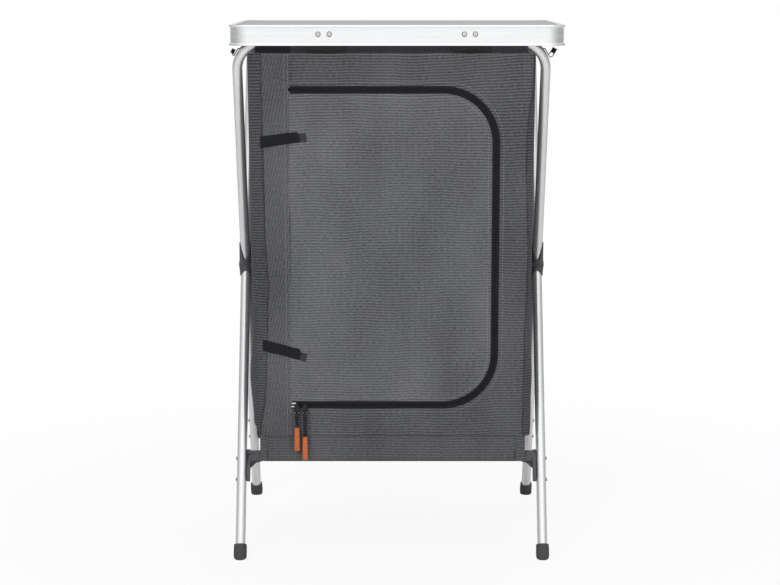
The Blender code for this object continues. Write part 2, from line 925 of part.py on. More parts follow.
def make_tab(number, length):
    eye = pull_eye(number)
    high = eye.z - length - touch
    half = tab_width / 2
    place = Vector((eye.x, eye.y, high))
    outline = [(-half * 0.8, 0.0), (half * 0.8, 0.0), (half, -tab_height), (-half, -tab_height)]
    item = prism(outline, place, x_way, z_way, y_way, -tab_depth / 2, tab_depth / 2)
    return item


# Catches

def catch_axis(side):
    """The middle of a catch's pin, which runs sideways through the bend of the front bar."""
    into_bend = bend_radius - catch_below_bar
    across = sqrt(bend_radius ** 2 - into_bend ** 2)
    x = leg_x(side) - sides_of[side] * (bend_radius - across)
    y, z = arm_point(-1, True, bar_reach - catch_below_bar)
    return Vector((x, y, z))


def catch_path(side):
    """The wire: a pin through the tube, then a hook outside the bend, up to its grip."""
    pin = catch_pin_reach
    grip = catch_grip_reach[side]
    bend = pin * 1.18
    spots = [(-pin, 0.0), (pin * 0.9, 0.0), (pin * 1.02, -catch_drop * 0.14), (bend, -catch_drop * 0.8),
             (bend + wire_radius * 1.4, -catch_drop), (grip - wire_radius, -catch_drop),
             (grip, -catch_drop + wire_radius), (grip, -catch_drop + wire_radius * 2.5)]
    axis = catch_axis(side)
    outward = sides_of[side]
    return [axis + x_way * (outward * across) + z_way * up for across, up in spots]


def make_catch_grip(side):
    """A ribbed sleeve on the free end of the wire."""
    end = catch_path(side)[-1] + z_way * touch
    ribs = 4
    profile = [(end, catch_grip_radius * 0.8)]
    for rib in range(ribs):
        low = end + z_way * (catch_grip_length * (rib + 0.25) / ribs)
        high = end + z_way * (catch_grip_length * (rib + 0.75) / ribs)
        after = end + z_way * (catch_grip_length * (rib + 1) / ribs)
        profile += [(low, catch_grip_radius), (high, catch_grip_radius), (after, catch_grip_radius * 0.8)]
    return turned(profile, 12)


# Shelves

def shelf_hinge(height, front_turn):
    """Where a shelf tilts, so that it folds flat against the frame clear of the shelf below it."""
    lowest = -(cabinet_floor_depth / 2)
    if front_turn:
        return Vector((frame_shift, lowest, height))
    rise = height - shelf_low_height
    steps = 1 if height < (shelf_mid_height + shelf_high_height) / 2 else 2
    return Vector((frame_shift, lowest + rise * tan(lean) - steps * shelf_stagger / cos_lean, height))


def shelf_half_depth(height):
    if height < panel_low_edge:
        return cabinet_floor_depth / 2
    return flat_depth(height) - cloth - shelf_front_gap


def make_shelf(height):
    half_x = half_width(max(height, panel_low_edge)) - cloth - shelf_side_gap
    half_y = shelf_half_depth(height)
    half_z = shelf_thickness / 2
    taper = (cabinet_width_top - cabinet_width_low) / 2 / (bar_height - rail_height)
    hinge_y = shelf_hinge(height, height < panel_low_edge + shelf_front_gap * 2).y
    outline = []
    for centre, facing in rounded_corners(2 * half_x, 2 * half_y, shelf_corner, 6):
        x, y = (centre + facing * shelf_corner).xy
        narrower = taper * max(hinge_y - y, 0.0)
        outline.append((x - narrower if x > 0 else x + narrower, y))
    return prism(outline, Vector((frame_shift, 0, height)), x_way, y_way, z_way, -half_z, half_z)


# Sleeves and hems

def make_sleeve(facing, half):
    """The tunnel of cloth that a bar runs through."""
    start = Vector((frame_shift - half, facing * bar_depth, bar_height))
    end = Vector((frame_shift + half, facing * bar_depth, bar_height))
    return rod(start, end, sleeve_radius, tube_radius + touch, 16)


def make_clip_notches():
    """The room that the front sleeve leaves for the two rest clips, above a strip below the bar."""
    reach = clip_width / 2 + clip_side_gap
    low = bar_height - 0.6 * tube_radius
    parts = []
    for sign in sides_of.values():
        middle = sign * clip_spacing / 2
        near = (middle - reach, -bar_depth - 2 * sleeve_radius, low)
        far = (middle + reach, -bar_depth + 2 * sleeve_radius, bar_height + 2 * sleeve_radius)
        parts.append(box(near, far))
    return joined(*parts)


def make_hem(facing):
    """A band of cloth: a tunnel round the floor rail and a flap up to the sheet above it."""
    face = leg_spacing / 2 - tube_radius - touch
    half = face - bracket_arm - touch
    bore = rail_radius + touch
    ring = bore + sleeve_wall
    flap_high = panel_low_edge - rail_height - touch
    steps = 12
    turns = [-0.8 * 2 * pi * step / steps for step in range(steps + 1)]
    outline = [(ring, flap_high)]
    outline += [(ring * cos(turn), ring * sin(turn)) for turn in turns]
    outline += [(bore * cos(turn), bore * sin(turn)) for turn in reversed(turns)]
    outline.append((bore, flap_high))
    place = Vector((frame_shift, facing * rail_depth, rail_height))
    return prism(outline, place, y_way * facing, z_way, x_way, -half, half)


# Assembly

def build_base(base):
    piece("rear_bar_tube", make_bar_tube(1), "aluminium", base, smooth=True)
    for side in sides_of:
        make_hub(side, 1, True, base, f"hub_outer_{side}")
        piece(f"front_leg_{side}", make_leg(side, -1), "aluminium", base, smooth=True)
        piece(f"foot_front_{side}", make_foot(side, -1), "black_plastic", base, smooth=True)
        make_bracket(side, -1, base, f"bracket_front_{side}")
        piece(f"pivot_bolt_{side}", make_pivot_bolt(side), "steel", base, smooth=True)
    piece("bottom_rail_front", make_rail(-1), "aluminium", base, smooth=True)
    rear_half = clip_spacing / 2 - clip_width / 2 - clip_side_gap + frame_shift
    piece("rear_sleeve", make_sleeve(1, rear_half), "cloth", base, smooth=True)
    piece("front_hem", make_hem(-1), "cloth", base)


def build_swing(swing):
    bar = piece("front_bar_tube", make_bar_tube(-1), "aluminium", swing, smooth=True)
    for side in sides_of:
        pin = catch_axis(side)
        reach = x_way * (3 * tube_radius)
        boolean(bar, cutter(f"catch_hole_{side}", rod(pin - reach, pin + reach, wire_radius + touch, sides=10)),
                "DIFFERENCE")
    for side in sides_of:
        make_hub(side, -1, False, swing, f"hub_inner_{side}")
        piece(f"rear_leg_{side}", make_leg(side, 1), "aluminium", swing, smooth=True)
        piece(f"foot_rear_{side}", make_foot(side, 1), "black_plastic", swing, smooth=True)
        make_bracket(side, 1, swing, f"bracket_rear_{side}")
    piece("bottom_rail_rear", make_rail(1), "aluminium", swing, smooth=True)
    sleeve = piece("front_sleeve", make_sleeve(-1, leg_spacing / 2 - bend_radius - touch), "cloth", swing, smooth=True)
    boolean(sleeve, cutter("clip_notches", make_clip_notches()), "DIFFERENCE")
    piece("rear_hem", make_hem(1), "cloth", swing)


def build_top(top):
    piece("tabletop_rim", make_rim(), "aluminium", top)
    piece("tabletop_board", make_board(), "top_board", top)
    bar = cutter("hinge_bore", rod((-top_width / 2, bar_depth, bar_height), (top_width / 2, bar_depth, bar_height),
                                   tube_radius + running_gap, sides=20))
    drilled = [bpy.data.objects["tabletop_rim"]]
    for side in sides_of:
        drilled.append(piece(f"rest_clip_{side}", make_rest_clip(side), "black_plastic", top))
        hinge = piece(f"hinge_clip_{side}", make_hinge_clip(side), "black_plastic", top)
        boolean(hinge, bar, "DIFFERENCE")
    drills = []
    for number, place in enumerate(rivet_places(), 1):
        piece(f"rim_rivet_{number}", make_rivet(place), "steel", top, smooth=True)
        inner = place - y_way * (top_depth / 2 - rim_inner - 5 * rivet_radius)
        outer = place - y_way * (top_depth / 2 + rim_wall)
        drills.append(rod(inner, outer, rivet_radius + touch, sides=12))
    drill = cutter("rivet_holes", joined(*drills))
    for item in drilled:
        boolean(item, drill, "DIFFERENCE")


def build_catch(carrier, side):
    piece(f"catch_wire_{side}", tube(catch_path(side), y_way, wire_radius, sides=8), "steel", carrier, smooth=True)
    piece(f"catch_grip_{side}", make_catch_grip(side), "black_plastic", carrier)


def build_cloth(base):
    front = piece("front_panel", make_panel(-1, panel_low_edge, front_edge), "cloth", base, smooth=True)
    boolean(front, door_cutter("door_hole", zip_overlap, door_left - touch), "DIFFERENCE")
    boolean(front, cutter("bend_notches", make_bend_notches()), "DIFFERENCE")
    piece("back_panel", make_panel(1, panel_low_edge, back_edge), "cloth", base, smooth=True)
    for side in sides_of:
        piece(f"side_panel_{side}", make_side(side), "cloth", base, smooth=True)
    piece("zip_tape_outer", make_zip_tape(touch / 2, zip_half, door_left + zip_overlap), "tape", base)


def build_door(door):
    panel = piece("door_panel", make_panel(-1, panel_low_edge, front_edge), "cloth", door, smooth=True)
    boolean(panel, door_cutter("door_shape", -zip_overlap, door_left + touch), "INTERSECT")
    piece("zip_tape_inner", make_zip_tape(-zip_half, -touch / 2, door_left + zip_end), "tape", door)


def main():
    clear_scene()
    base = body("base", Vector((frame_shift, 0, 0)))
    pivot = Vector((frame_shift, 0, pivot_height))
    swing = body("swing", pivot, base)
    top = body("top", Vector((0, bar_depth, bar_height)), base)
    door = body("door", fold_line(door_left)[0], base)
    build_base(base)
    build_swing(swing)
    build_top(top)
    build_cloth(base)
    build_door(door)
    for side in sides_of:
        build_catch(body(f"catch_{side}", catch_axis(side), swing), side)
    straps = {"upper": (strap_upper_height, strap_upper_tilt), "lower": (strap_lower_height, strap_lower_tilt)}
    for name, (height, tilt) in straps.items():
        carrier = body(f"strap_{name}", strap_hinge(height), base)
        piece(f"door_strap_{name}", make_strap(height, tilt), "tape", carrier)
    shelves = {"low": shelf_low_height, "mid": shelf_mid_height, "high": shelf_high_height}
    for name, height in shelves.items():
        carrier = body(f"shelf_{name}", shelf_hinge(height, name == "low"), base)
        piece(f"shelf_{name}_board", make_shelf(height), "hardboard", carrier)
    for number, (name, cord) in enumerate((("left", pull_cord_left), ("right", pull_cord_right))):
        slider = body(f"slider_{name}", slider_place(number), base)
        runner = piece(f"zip_slider_{name}", make_slider(number), "steel", slider)
        boolean(runner, cutter(f"slider_bridge_{name}", make_slider_bridge(number)), "UNION")
        pull = body(f"pull_{name}", pull_eye(number), slider)
        piece(f"pull_cord_{name}", make_pull_cord(number, cord), "tape", pull, smooth=True)
        piece(f"pull_tab_{name}", make_tab(number, cord), "orange_rubber", pull)


main()
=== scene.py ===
# %% [markdown]
# # Folding camping cupboard
# A cloth cabinet hangs between two crossed tube frames under a rigid top. The solids of the frame
# file carry the sizes and the joints. This file gives each of them the finish of the real thing, and
# makes anew what a plain solid can't show: ribbed cloth, zip, stitching, drawn edge trim and tube.

# %% The frame file
from math import asin, atan2, ceil, cos, exp, hypot, pi, radians, sin, sqrt

import bmesh
import bpy
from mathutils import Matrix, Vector


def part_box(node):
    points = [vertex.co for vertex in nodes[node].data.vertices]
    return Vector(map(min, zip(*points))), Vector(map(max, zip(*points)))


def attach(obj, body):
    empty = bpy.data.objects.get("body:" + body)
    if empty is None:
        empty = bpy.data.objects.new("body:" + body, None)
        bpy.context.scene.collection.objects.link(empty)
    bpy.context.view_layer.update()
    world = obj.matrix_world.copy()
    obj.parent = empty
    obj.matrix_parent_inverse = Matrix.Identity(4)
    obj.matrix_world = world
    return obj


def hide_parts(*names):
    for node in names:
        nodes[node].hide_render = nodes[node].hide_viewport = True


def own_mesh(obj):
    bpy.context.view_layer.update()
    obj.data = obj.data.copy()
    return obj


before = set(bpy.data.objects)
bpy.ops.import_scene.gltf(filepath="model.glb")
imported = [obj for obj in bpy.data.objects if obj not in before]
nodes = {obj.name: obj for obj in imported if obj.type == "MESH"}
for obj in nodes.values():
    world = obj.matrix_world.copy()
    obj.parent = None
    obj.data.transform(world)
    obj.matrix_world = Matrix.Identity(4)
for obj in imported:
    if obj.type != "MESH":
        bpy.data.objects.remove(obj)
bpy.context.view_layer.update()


def placed(name, data):
    """A new object in the scene."""
    item = bpy.data.objects.new(name, data)
    bpy.context.collection.objects.link(item)
    return item


# %% [markdown]
# ## Camera
# The photograph was taken from a little above the tabletop and from four metres away with a long
# lens. The numbers come from fitting a camera to the corners of the top, the hubs and the feet.

# %% Camera
look_down = 8.47
camera_data = bpy.data.cameras.new("camera")
camera_data.sensor_width = 36.0
camera_data.lens = 97.96
camera = placed("camera", camera_data)
camera.location = (-0.0126, -4.006, 1.051)
camera.rotation_euler = (radians(90 - look_down), 0, 0)
bpy.context.scene.camera = camera

# %% [markdown]
# ## Writing node trees
# A material is easier to read as a sum than as a list of nodes. `Number` wraps one socket of a tree
# and adds a Math node for each sign in an expression. `Finish` holds one material and has a single
# method for every other kind of node.

# %% Numbers and finishes
class Number:
    """A number in a node tree; a sum written with it adds its Math nodes."""

    def __init__(self, tree, socket):
        self.tree = tree
        self.socket = socket

    def maths(self, operation, *values):
        made = self.tree.nodes.new("ShaderNodeMath")
        made.operation = operation
        for socket, value in zip(made.inputs, values):
            if isinstance(value, Number):
                self.tree.links.new(value.socket, socket)
            else:
                socket.default_value = value
        return Number(self.tree, made.outputs[0])

    def __add__(self, other):
        return self.maths("ADD", self, other)

    def __sub__(self, other):
        return self.maths("SUBTRACT", self, other)

    def __rsub__(self, other):
        return self.maths("SUBTRACT", other, self)

    def __mul__(self, other):
        return self.maths("MULTIPLY", self, other)

    def wave(self):
        """The cosine, brought between 0 and 1."""
        return self.maths("COSINE", self) * 0.5 + 0.5

    __radd__ = __add__
    __rmul__ = __mul__


class Finish:
    """One material and short ways to add to it."""

    def __init__(self, name, colour=(0.5, 0.5, 0.5), roughness=0.5, metallic=0.0):
        self.material = bpy.data.materials.new(name)
        self.material.use_nodes = True
        self.tree = self.material.node_tree
        self.shader = self.tree.nodes["Principled BSDF"]
        self.set("Base Color", (*colour, 1.0))
        self.set("Roughness", roughness)
        self.set("Metallic", metallic)

    def feed(self, socket, value):
        if isinstance(value, Number):
            self.tree.links.new(value.socket, socket)
        elif isinstance(value, bpy.types.NodeSocket):
            self.tree.links.new(value, socket)
        else:
            socket.default_value = value

    def node(self, kind, settings=None, values=None):
        """Any node: its settings first, then the values or links of its sockets by name or place."""
        made = self.tree.nodes.new(kind)
        for name, value in (settings or {}).items():
            setattr(made, name, value)
        for name, value in (values or {}).items():
            self.feed(made.inputs[name], value)
        return made

    def set(self, socket, value):
        self.feed(self.shader.inputs[socket], value)

    def number(self, socket):
        return Number(self.tree, socket)

    def place(self):
        """Where a point is on the object, as three numbers."""
        spot = self.node("ShaderNodeTexCoord").outputs["Object"]
        parts = self.node("ShaderNodeSeparateXYZ", values={0: spot}).outputs
        return spot, [self.number(part) for part in parts]

    def stretched(self, spot, scale):
        return self.node("ShaderNodeMapping", values={"Vector": spot, "Scale": scale}).outputs[0]

    def noise(self, spot, scale, detail=2.0):
        made = self.node("ShaderNodeTexNoise", values={"Vector": spot, "Scale": scale, "Detail": detail})
        return self.number(made.outputs["Fac"])

    def blend(self, share, first, second):
        """A colour between two."""
        mixed = self.node("ShaderNodeMix", {"data_type": "RGBA"},
                          {0: share, 6: (*first, 1.0), 7: (*second, 1.0)})
        return mixed.outputs[2]

    def bump(self, height, distance):
        made = self.node("ShaderNodeBump", values={"Height": height, "Distance": distance})
        self.set("Normal", made.outputs["Normal"])


def seen(red, green, blue):
    """A colour as read off a screen, 0 to 255, turned into the light values that a shader takes."""
    return tuple(((c / 255 + 0.055) / 1.055) ** 2.4 if c > 10 else c / 3295 for c in (red, green, blue))


# %% [markdown]
# ## Aluminium, steel and plastic
# The tubes are satin anodised: a metal with a soft, even gloss and a trace of drawing marks along
# the length. Moulded plastic has a fine grain that breaks up its gloss.

# %% Hard finishes
def drawn_metal(name, colour, roughness, grain, bare=1.0):
    """Metal with fine marks along one axis: grain is how fine they are along x, y and z.

    Below 1, bare leaves part of the look to the milky anodised layer.
    """
    made = Finish(name, colour, roughness, bare)
    spot, _ = made.place()
    marks = made.noise(made.stretched(spot, grain), 1.0, 4.0)
    patches = made.noise(spot, 30.0)
    made.set("Roughness", roughness - 0.06 + marks * 0.08 + patches * 0.05)
    shade = tuple(0.90 * c for c in colour)
    made.set("Base Color", made.blend(marks, colour, shade))
    made.bump(marks, 0.00004)
    return made.material


def moulded(name, colour, roughness, wear=0.12):
    """Plastic or rubber with a fine moulded grain and slightly paler worn patches."""
    made = Finish(name, colour, roughness)
    spot, _ = made.place()
    grain = made.noise(spot, 1800.0, 3.0)
    patches = made.noise(spot, 45.0, 4.0)
    pale = tuple(c + wear * (0.30 - c) for c in colour)
    made.set("Base Color", made.blend(patches, colour, pale))
    made.set("Roughness", roughness - 0.08 + grain * 0.16)
    made.set("Specular IOR Level", 0.3)
    made.bump(grain, 0.00012)
    return made.material


even_grain = (300.0, 300.0, 300.0)
tube_metal = drawn_metal("satin aluminium tube", (0.82, 0.83, 0.84), 0.30, (900.0, 14.0, 14.0), 0.80)
wire_metal = drawn_metal("blackened wire", (0.12, 0.12, 0.11), 0.40, even_grain, 0.6)
rim_metal = drawn_metal("drawn aluminium trim", (0.94, 0.95, 0.96), 0.34, (10.0, 10.0, 1500.0), 0.90)
rivet_metal = drawn_metal("aluminium rivet", (0.68, 0.68, 0.69), 0.35, even_grain, 0.6)
steel_metal = drawn_metal("zinc plated steel", (0.42, 0.42, 0.43), 0.32, even_grain)
grey_plastic = moulded("grey moulded plastic", seen(66, 67, 70), 0.46)
black_plastic = moulded("black moulded plastic", seen(8, 8, 9), 0.55, 0.02)
foot_rubber = moulded("dark rubber", seen(62, 62, 64), 0.62, 0.05)
tab_rubber = moulded("orange rubber", seen(180, 92, 44), 0.55, 0.06)
slider_lacquer = moulded("black lacquered zinc", seen(14, 14, 15), 0.42, 0.03)


def speckled_board(name, colour, fleck, roughness):
    """Laminate or hardboard: one colour with a fine irregular fleck."""
    made = Finish(name, colour, roughness)
    spot, _ = made.place()
    flecks = made.noise(spot, 700.0, 5.0)
    clouds = made.noise(spot, 9.0, 3.0)
    made.set("Base Color", made.blend(flecks * 0.7 + clouds * 0.3, colour, fleck))
    made.set("Roughness", roughness + flecks * 0.12)
    made.set("Specular IOR Level", 0.2)
    made.bump(flecks, 0.00008)
    return made.material


board_face = speckled_board("grey laminate", seen(176, 178, 180), seen(160, 162, 165), 0.60)
shelf_board = speckled_board("hardboard", seen(88, 84, 80), seen(66, 62, 60), 0.62)

# %% [markdown]
# ## Cloth
# The cabinet is sewn from a coated ribbed weave. Ribs lie about five millimetres apart, and fine
# threads cross them. The ribs are real relief in the mesh, and the colour follows them, paler on
# the ridges and darker in the furrows as painted shade, so both use the same pitch.

# %% Cloth, webbing and thread
rib_pitch = 0.0051
rib_relief = 0.00034
thread_pitch = 0.0022


def ribbed_cloth(name, pale, dark, ribs=0.34, threads=0.26):
    """Ribs crossed by threads, laid out by the cloth's own weave map: along a rib, then across the ribs.

    ribs says how strongly the painted shade of the furrows shows, threads how strongly the threads do.
    """
    made = Finish(name, pale, 0.85)
    spot, _ = made.place()
    weave = made.node("ShaderNodeUVMap", {"uv_map": "weave"}).outputs[0]
    along, across, _ = [made.number(part) for part in
                        made.node("ShaderNodeSeparateXYZ", values={0: weave}).outputs]
    # The colour is darker in the furrows between the ribs: painted shade.
    ridge = (across * (2 * pi / rib_pitch)).wave()
    slubs = made.noise(made.stretched(weave, (170.0, 560.0, 1.0)), 1.0, 2.0)
    thread = (along * (2 * pi / thread_pitch) + slubs * 5.0).wave()
    fibres = made.noise(spot, 1500.0, 2.0)
    # The large soft clouds in the colour are painted shade and light of the cloth's soft folds.
    clouds = made.noise(made.stretched(spot, (9.0, 9.0, 5.0)), 1.0, 3.0)
    share = (ridge - 0.5) * ribs + (thread - 0.5) * threads + (slubs - 0.5) * 0.95 + (fibres - 0.5) * 0.30
    share = share + (clouds - 0.5) * 0.55 + 0.5
    made.set("Base Color", made.blend(share, dark, pale))
    made.set("Roughness", 0.95 - ridge * 0.15)
    made.set("Specular IOR Level", 0.25)
    made.set("Sheen Weight", 0.08)
    made.set("Sheen Roughness", 0.5)
    made.bump(ridge * thread + fibres * 0.5, 0.00018)
    return made.material


# The door's cloth is the palest. The other parts are copies of the same cloth painted darker as shade: a
# little for the walls, the flap and the hems, more for the sides, which turn from the light, and most for the
# skirt under the top.
panel_cloth = ribbed_cloth("ribbed cloth of the door", seen(117, 118, 120), seen(38, 39, 42))
wall_cloth_in_painted_shade = ribbed_cloth("ribbed cloth of the walls in painted shade", seen(103, 104, 107), seen(24, 25, 28), 0.42, 0.30)
side_cloth = ribbed_cloth("ribbed cloth of the sides in painted shade", seen(90, 91, 94), seen(18, 19, 22), 0.50, 0.34)
hem_cloth = ribbed_cloth("ribbed cloth of the hems", seen(101, 102, 105), seen(35, 36, 39))
flap_cloth = ribbed_cloth("ribbed cloth of the flap", seen(103, 104, 106), seen(30, 31, 34), 0.22, 0.30)
skirt_cloth_in_painted_shade = ribbed_cloth("ribbed cloth in the shade of the top", seen(56, 57, 60), seen(26, 27, 30))


def webbing(name, colour, pale):
    """Black woven tape: a tight chequer of threads."""
    made = Finish(name, colour, 0.9)
    spot, axes = made.place()
    fineness = 5200.0
    weave = (axes[0] * fineness).wave() * (axes[2] * fineness).wave()
    fuzz = made.noise(spot, 400.0, 3.0)
    made.set("Base Color", made.blend(weave * 0.6 + fuzz * 0.4, colour, pale))
    made.set("Specular IOR Level", 0.3)
    made.bump(weave, 0.0002)
    return made.material


black_tape = webbing("black woven tape", seen(15, 16, 19), seen(34, 35, 39))
strap_webbing = webbing("black strap webbing", seen(15, 16, 18), seen(34, 35, 38))
pale_thread = moulded("pale thread", seen(150, 152, 156), 0.7)
dark_thread = moulded("dark thread", seen(34, 35, 39), 0.7)
tack_thread = moulded("black thread of the straps", seen(26, 27, 29), 0.75, 0.03)
tooth_black = moulded("black zip teeth", seen(20, 21, 24), 0.35, 0.04)

# %% [markdown]
# ## Making pieces
# A piece is drawn as a bmesh, its modifiers are worked in, and it is handed to the body that carries
# it. Its object stays at the origin, with its place in the mesh, as the solids' objects do.

# %% Helpers for meshes
x_way = Vector((1, 0, 0))
y_way = Vector((0, 1, 0))
z_way = Vector((0, 0, 1))
core = Vector((0, 0, 0.55))
sides_of = {"left": -1, "right": 1}
ends_of = {"front": -1, "rear": 1}


def mesh_of(name, bm):
    mesh = bpy.data.meshes.new(name)
    bm.to_mesh(mesh)
    bm.free()
    return mesh


def paint(mesh, finish):
    mesh.materials.clear()
    mesh.materials.append(finish)


def settled(item):
    """The object's mesh with its modifiers worked in."""
    graph = bpy.context.evaluated_depsgraph_get()
    return bpy.data.meshes.new_from_object(item.evaluated_get(graph))


def break_edges(item, width, angle):
    """A small bevel on each edge that is sharper than the angle."""
    bevel = item.modifiers.new("edges", "BEVEL")
    bevel.width = width
    bevel.segments = 2
    bevel.limit_method = "ANGLE"
    bevel.angle_limit = radians(angle)


def hand_over(item, body, replaced):
    """Gives a piece to the body that carries it, in place of the solids named."""
    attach(item, body)
    if replaced:
        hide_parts(*replaced)
    return item


def piece(name, bm, finish, body, replaced=(), thick=0.0, bevel=0.0, sharp=40):
    """A named mesh on the body that carries it; a sheet faces away from the core of the cabinet."""
    bmesh.ops.recalc_face_normals(bm, faces=bm.faces)
    if thick and sum(face.normal.dot(face.calc_center_median() - core) for face in bm.faces) < 0:
        bmesh.ops.reverse_faces(bm, faces=bm.faces)
    item = placed(name, mesh_of(name, bm))
    if thick:
        wall = item.modifiers.new("thickness", "SOLIDIFY")
        wall.thickness = thick
        wall.offset = -1.0
    if bevel:
        break_edges(item, bevel, 30)
    mesh = settled(item)
    item.modifiers.clear()
    item.data = mesh
    mesh.shade_smooth()
    mesh.set_sharp_from_angle(angle=radians(sharp))
    paint(mesh, finish)
    return hand_over(item, body, replaced)


def between(first, last, count):
    """Evenly spaced values from the first to the last."""
    return [first + (last - first) * step / count for step in range(count + 1)]


def full_turn(count):
    """Evenly spaced angles round a circle."""
    return [2 * pi * step / count for step in range(count)]


def skin(bm, rings):
    """Four-sided faces between closed rows of vertices."""
    for here, there in zip(rings, rings[1:]):
        for step in range(len(here)):
            after = (step + 1) % len(here)
            bm.faces.new((here[step], here[after], there[after], there[step]))


def capped(bm, rings):
    """A skin with its first and last row closed."""
    skin(bm, rings)
    bm.faces.new(rings[0])
    bm.faces.new(rings[-1])
    return bm


def sweep(bm, path, flat_normal, radius, sides=24):
    """A round rod along a path that lies in the plane square to flat_normal."""
    across = Vector(flat_normal).normalized()
    points = [Vector(point) for point in path]
    rings = []
    for index, point in enumerate(points):
        before = points[max(index - 1, 0)]
        after = points[min(index + 1, len(points) - 1)]
        along = (after - before).normalized()
        up = along.cross(across)
        rings.append([bm.verts.new(point + radius * (across * cos(turn) + up * sin(turn)))
                      for turn in full_turn(sides)])
    return capped(bm, rings)


def lathe(bm, profile, centre, axis, sides=32):
    """A turned shape: profile gives the radius and how far along the axis."""
    across = axis.orthogonal().normalized()
    up = axis.cross(across)
    rings = [[bm.verts.new(centre + axis * along + radius * (across * cos(turn) + up * sin(turn)))
              for turn in full_turn(sides)] for radius, along in profile]
    return capped(bm, rings)


# %% [markdown]
# ## Tubes of the frame
# Each frame has one tube bent into an upside-down U, and two straight lower legs. A long tube shows
# every flat in its outline, so the tubes are swept again with many sides along the same line as
# the solids.

# %% Tubes
top_height = 0.966
tube_radius = 0.009
bend_radius = 0.058
leg_spacing = 0.552
tube_start = 0.0150
leg_above_floor = 0.0108
frame_shift = -0.010
pivot_height = 0.509
jog = 0.0132
bar_height = top_height - 0.027
bar_rise = bar_height - pivot_height
bar_depth = 0.2114
lean = atan2(bar_depth, bar_rise) - asin(jog / hypot(bar_rise, bar_depth))
bar_reach = (bar_rise + jog * sin(lean)) / cos(lean)
foot_reach = (pivot_height + jog * sin(lean)) / cos(lean)
leg_x = {side: frame_shift + sign * leg_spacing / 2 for side, sign in sides_of.items()}


def arm_point(facing, above, reach):
    """A point on a tube's axis beside the crossing; facing is -1 to the front and +1 to the rear."""
    level = 1 if above else -1
    y = facing * (jog * cos(lean) + reach * sin(lean))
    z = pivot_height + level * (reach * cos(lean) - jog * sin(lean))
    return y, z


def beside_tube(side, facing, above, reach, out, sideways):
    """A point beside a tube's axis: out along x, and sideways square to the tube."""
    level = 1 if above else -1
    y, z = arm_point(facing, above, reach)
    return leg_x[side] + out, y + sideways * cos(lean), z - sideways * facing * level * sin(lean)


def bar_route(facing):
    """The line of a bent tube: up one leg, round both bends along the bar, and down the other."""
    points = []
    for side, sign in sides_of.items():
        half = [Vector((leg_x[side], *arm_point(facing, True, tube_start)))]
        for turn in between(0.0, pi / 2, 24):
            y, z = arm_point(facing, True, bar_reach - bend_radius * (1 - sin(turn)))
            half.append(Vector((leg_x[side] - sign * bend_radius * (1 - cos(turn)), y, z)))
        points += half if sign < 0 else half[::-1]
    return points


frame_body = {-1: "base_frame", 1: "swing_frame"}
for word, facing in ends_of.items():
    plane = Vector((0, cos(lean), -facing * sin(lean)))
    bar = sweep(bmesh.new(), bar_route(facing), plane, tube_radius, 40)
    piece(f"{word}_bent_tube", bar, tube_metal, frame_body[-facing], [f"{word}_bar_tube"])
    for side in sides_of:
        ends = [(leg_x[side], *arm_point(facing, False, reach))
                for reach in (tube_start, foot_reach - leg_above_floor)]
        leg = sweep(bmesh.new(), ends, x_way, tube_radius, 40)
        piece(f"{word}_lower_leg_{side}", leg, tube_metal, frame_body[facing], [f"{word}_leg_{side}"])
print("tubes: bars", round(bar_reach, 3), "m above the pivot along the tube")

# %% [markdown]
# ## Feet
# A rubber cap is pushed on each lower leg. It widens a little towards the sole, which is cut level with
# the floor and has a rounded edge.

# %% Feet
foot_profile = ((0.0108, 0.0060), (tube_radius, 0.0060), (tube_radius, 0.0268), (0.0111, 0.0268),
                (0.0117, 0.0258), (0.0121, 0.0120), (0.0119, 0.0050), (0.0110, 0.0012), (0.0092, 0.0))


def make_foot(side, facing):
    """A turned cap on the leg: each radius at its distance from the floor, measured along the leg."""
    bm = bmesh.new()
    along = Vector((0, facing * sin(lean), -cos(lean)))
    across = along.cross(x_way)
    rings = []
    for radius, above_floor in foot_profile:
        centre = Vector((leg_x[side], *arm_point(facing, False, foot_reach - above_floor)))
        ring = []
        for turn in full_turn(40):
            point = centre + radius * (x_way * cos(turn) + across * sin(turn))
            if point.z < 0 or not above_floor:
                point += along * (point.z / cos(lean))
            ring.append(bm.verts.new(point))
        rings.append(ring)
    return capped(bm, rings)


for word, facing in ends_of.items():
    for side in sides_of:
        piece(f"rubber_foot_{word}_{side}", make_foot(side, facing), foot_rubber, frame_body[facing],
              [f"foot_{word}_{side}"], sharp=50)

# %% [markdown]
# ## Hubs
# Where the frames cross, each has a moulded half: a thick round plate on its own side of the pivot,
# and a socket for its upper and its lower tube. The upper socket's mouth is cut like a fish's, so that
# its two flanks reach far up the tube and the tube shows between them.

# %% Hub halves
hub_half = 0.0118
hub_dish = hub_half - 0.0012
hub_radius = 0.0190
neck_half = 0.0086
socket_radius = 0.0118
socket_start = 0.0196
flank_reach = {True: 0.0573, False: 0.0268}
notch_reach = {True: 0.0240, False: 0.0195}


def make_socket(bm, side, facing, above, sides=48):
    """A round socket on a tube whose mouth is deeper at the front and back than at its flanks."""
    rings = []
    inner = tube_radius + 0.0001
    for layer, radius in enumerate((socket_radius, socket_radius, socket_radius - 0.0008, inner, inner)):
        ring = []
        for turn in full_turn(sides):
            flank = abs(cos(turn)) ** 1.5
            mouth = notch_reach[above] + (flank_reach[above] - notch_reach[above]) * flank
            thin = 1.0 - 0.10 * flank * (layer in (1, 2))
            lateral = jog + facing * radius * sin(turn)
            start = sqrt(max(socket_start ** 2 - lateral ** 2, 0.0))
            reach = (start, mouth - 0.0008, mouth, mouth, start)[layer]
            out = max(radius * thin, inner)
            ring.append(bm.verts.new(beside_tube(side, facing, above, reach, out * cos(turn),
                                                 out * sin(turn))))
        rings.append(ring)
    skin(bm, rings + rings[:1])


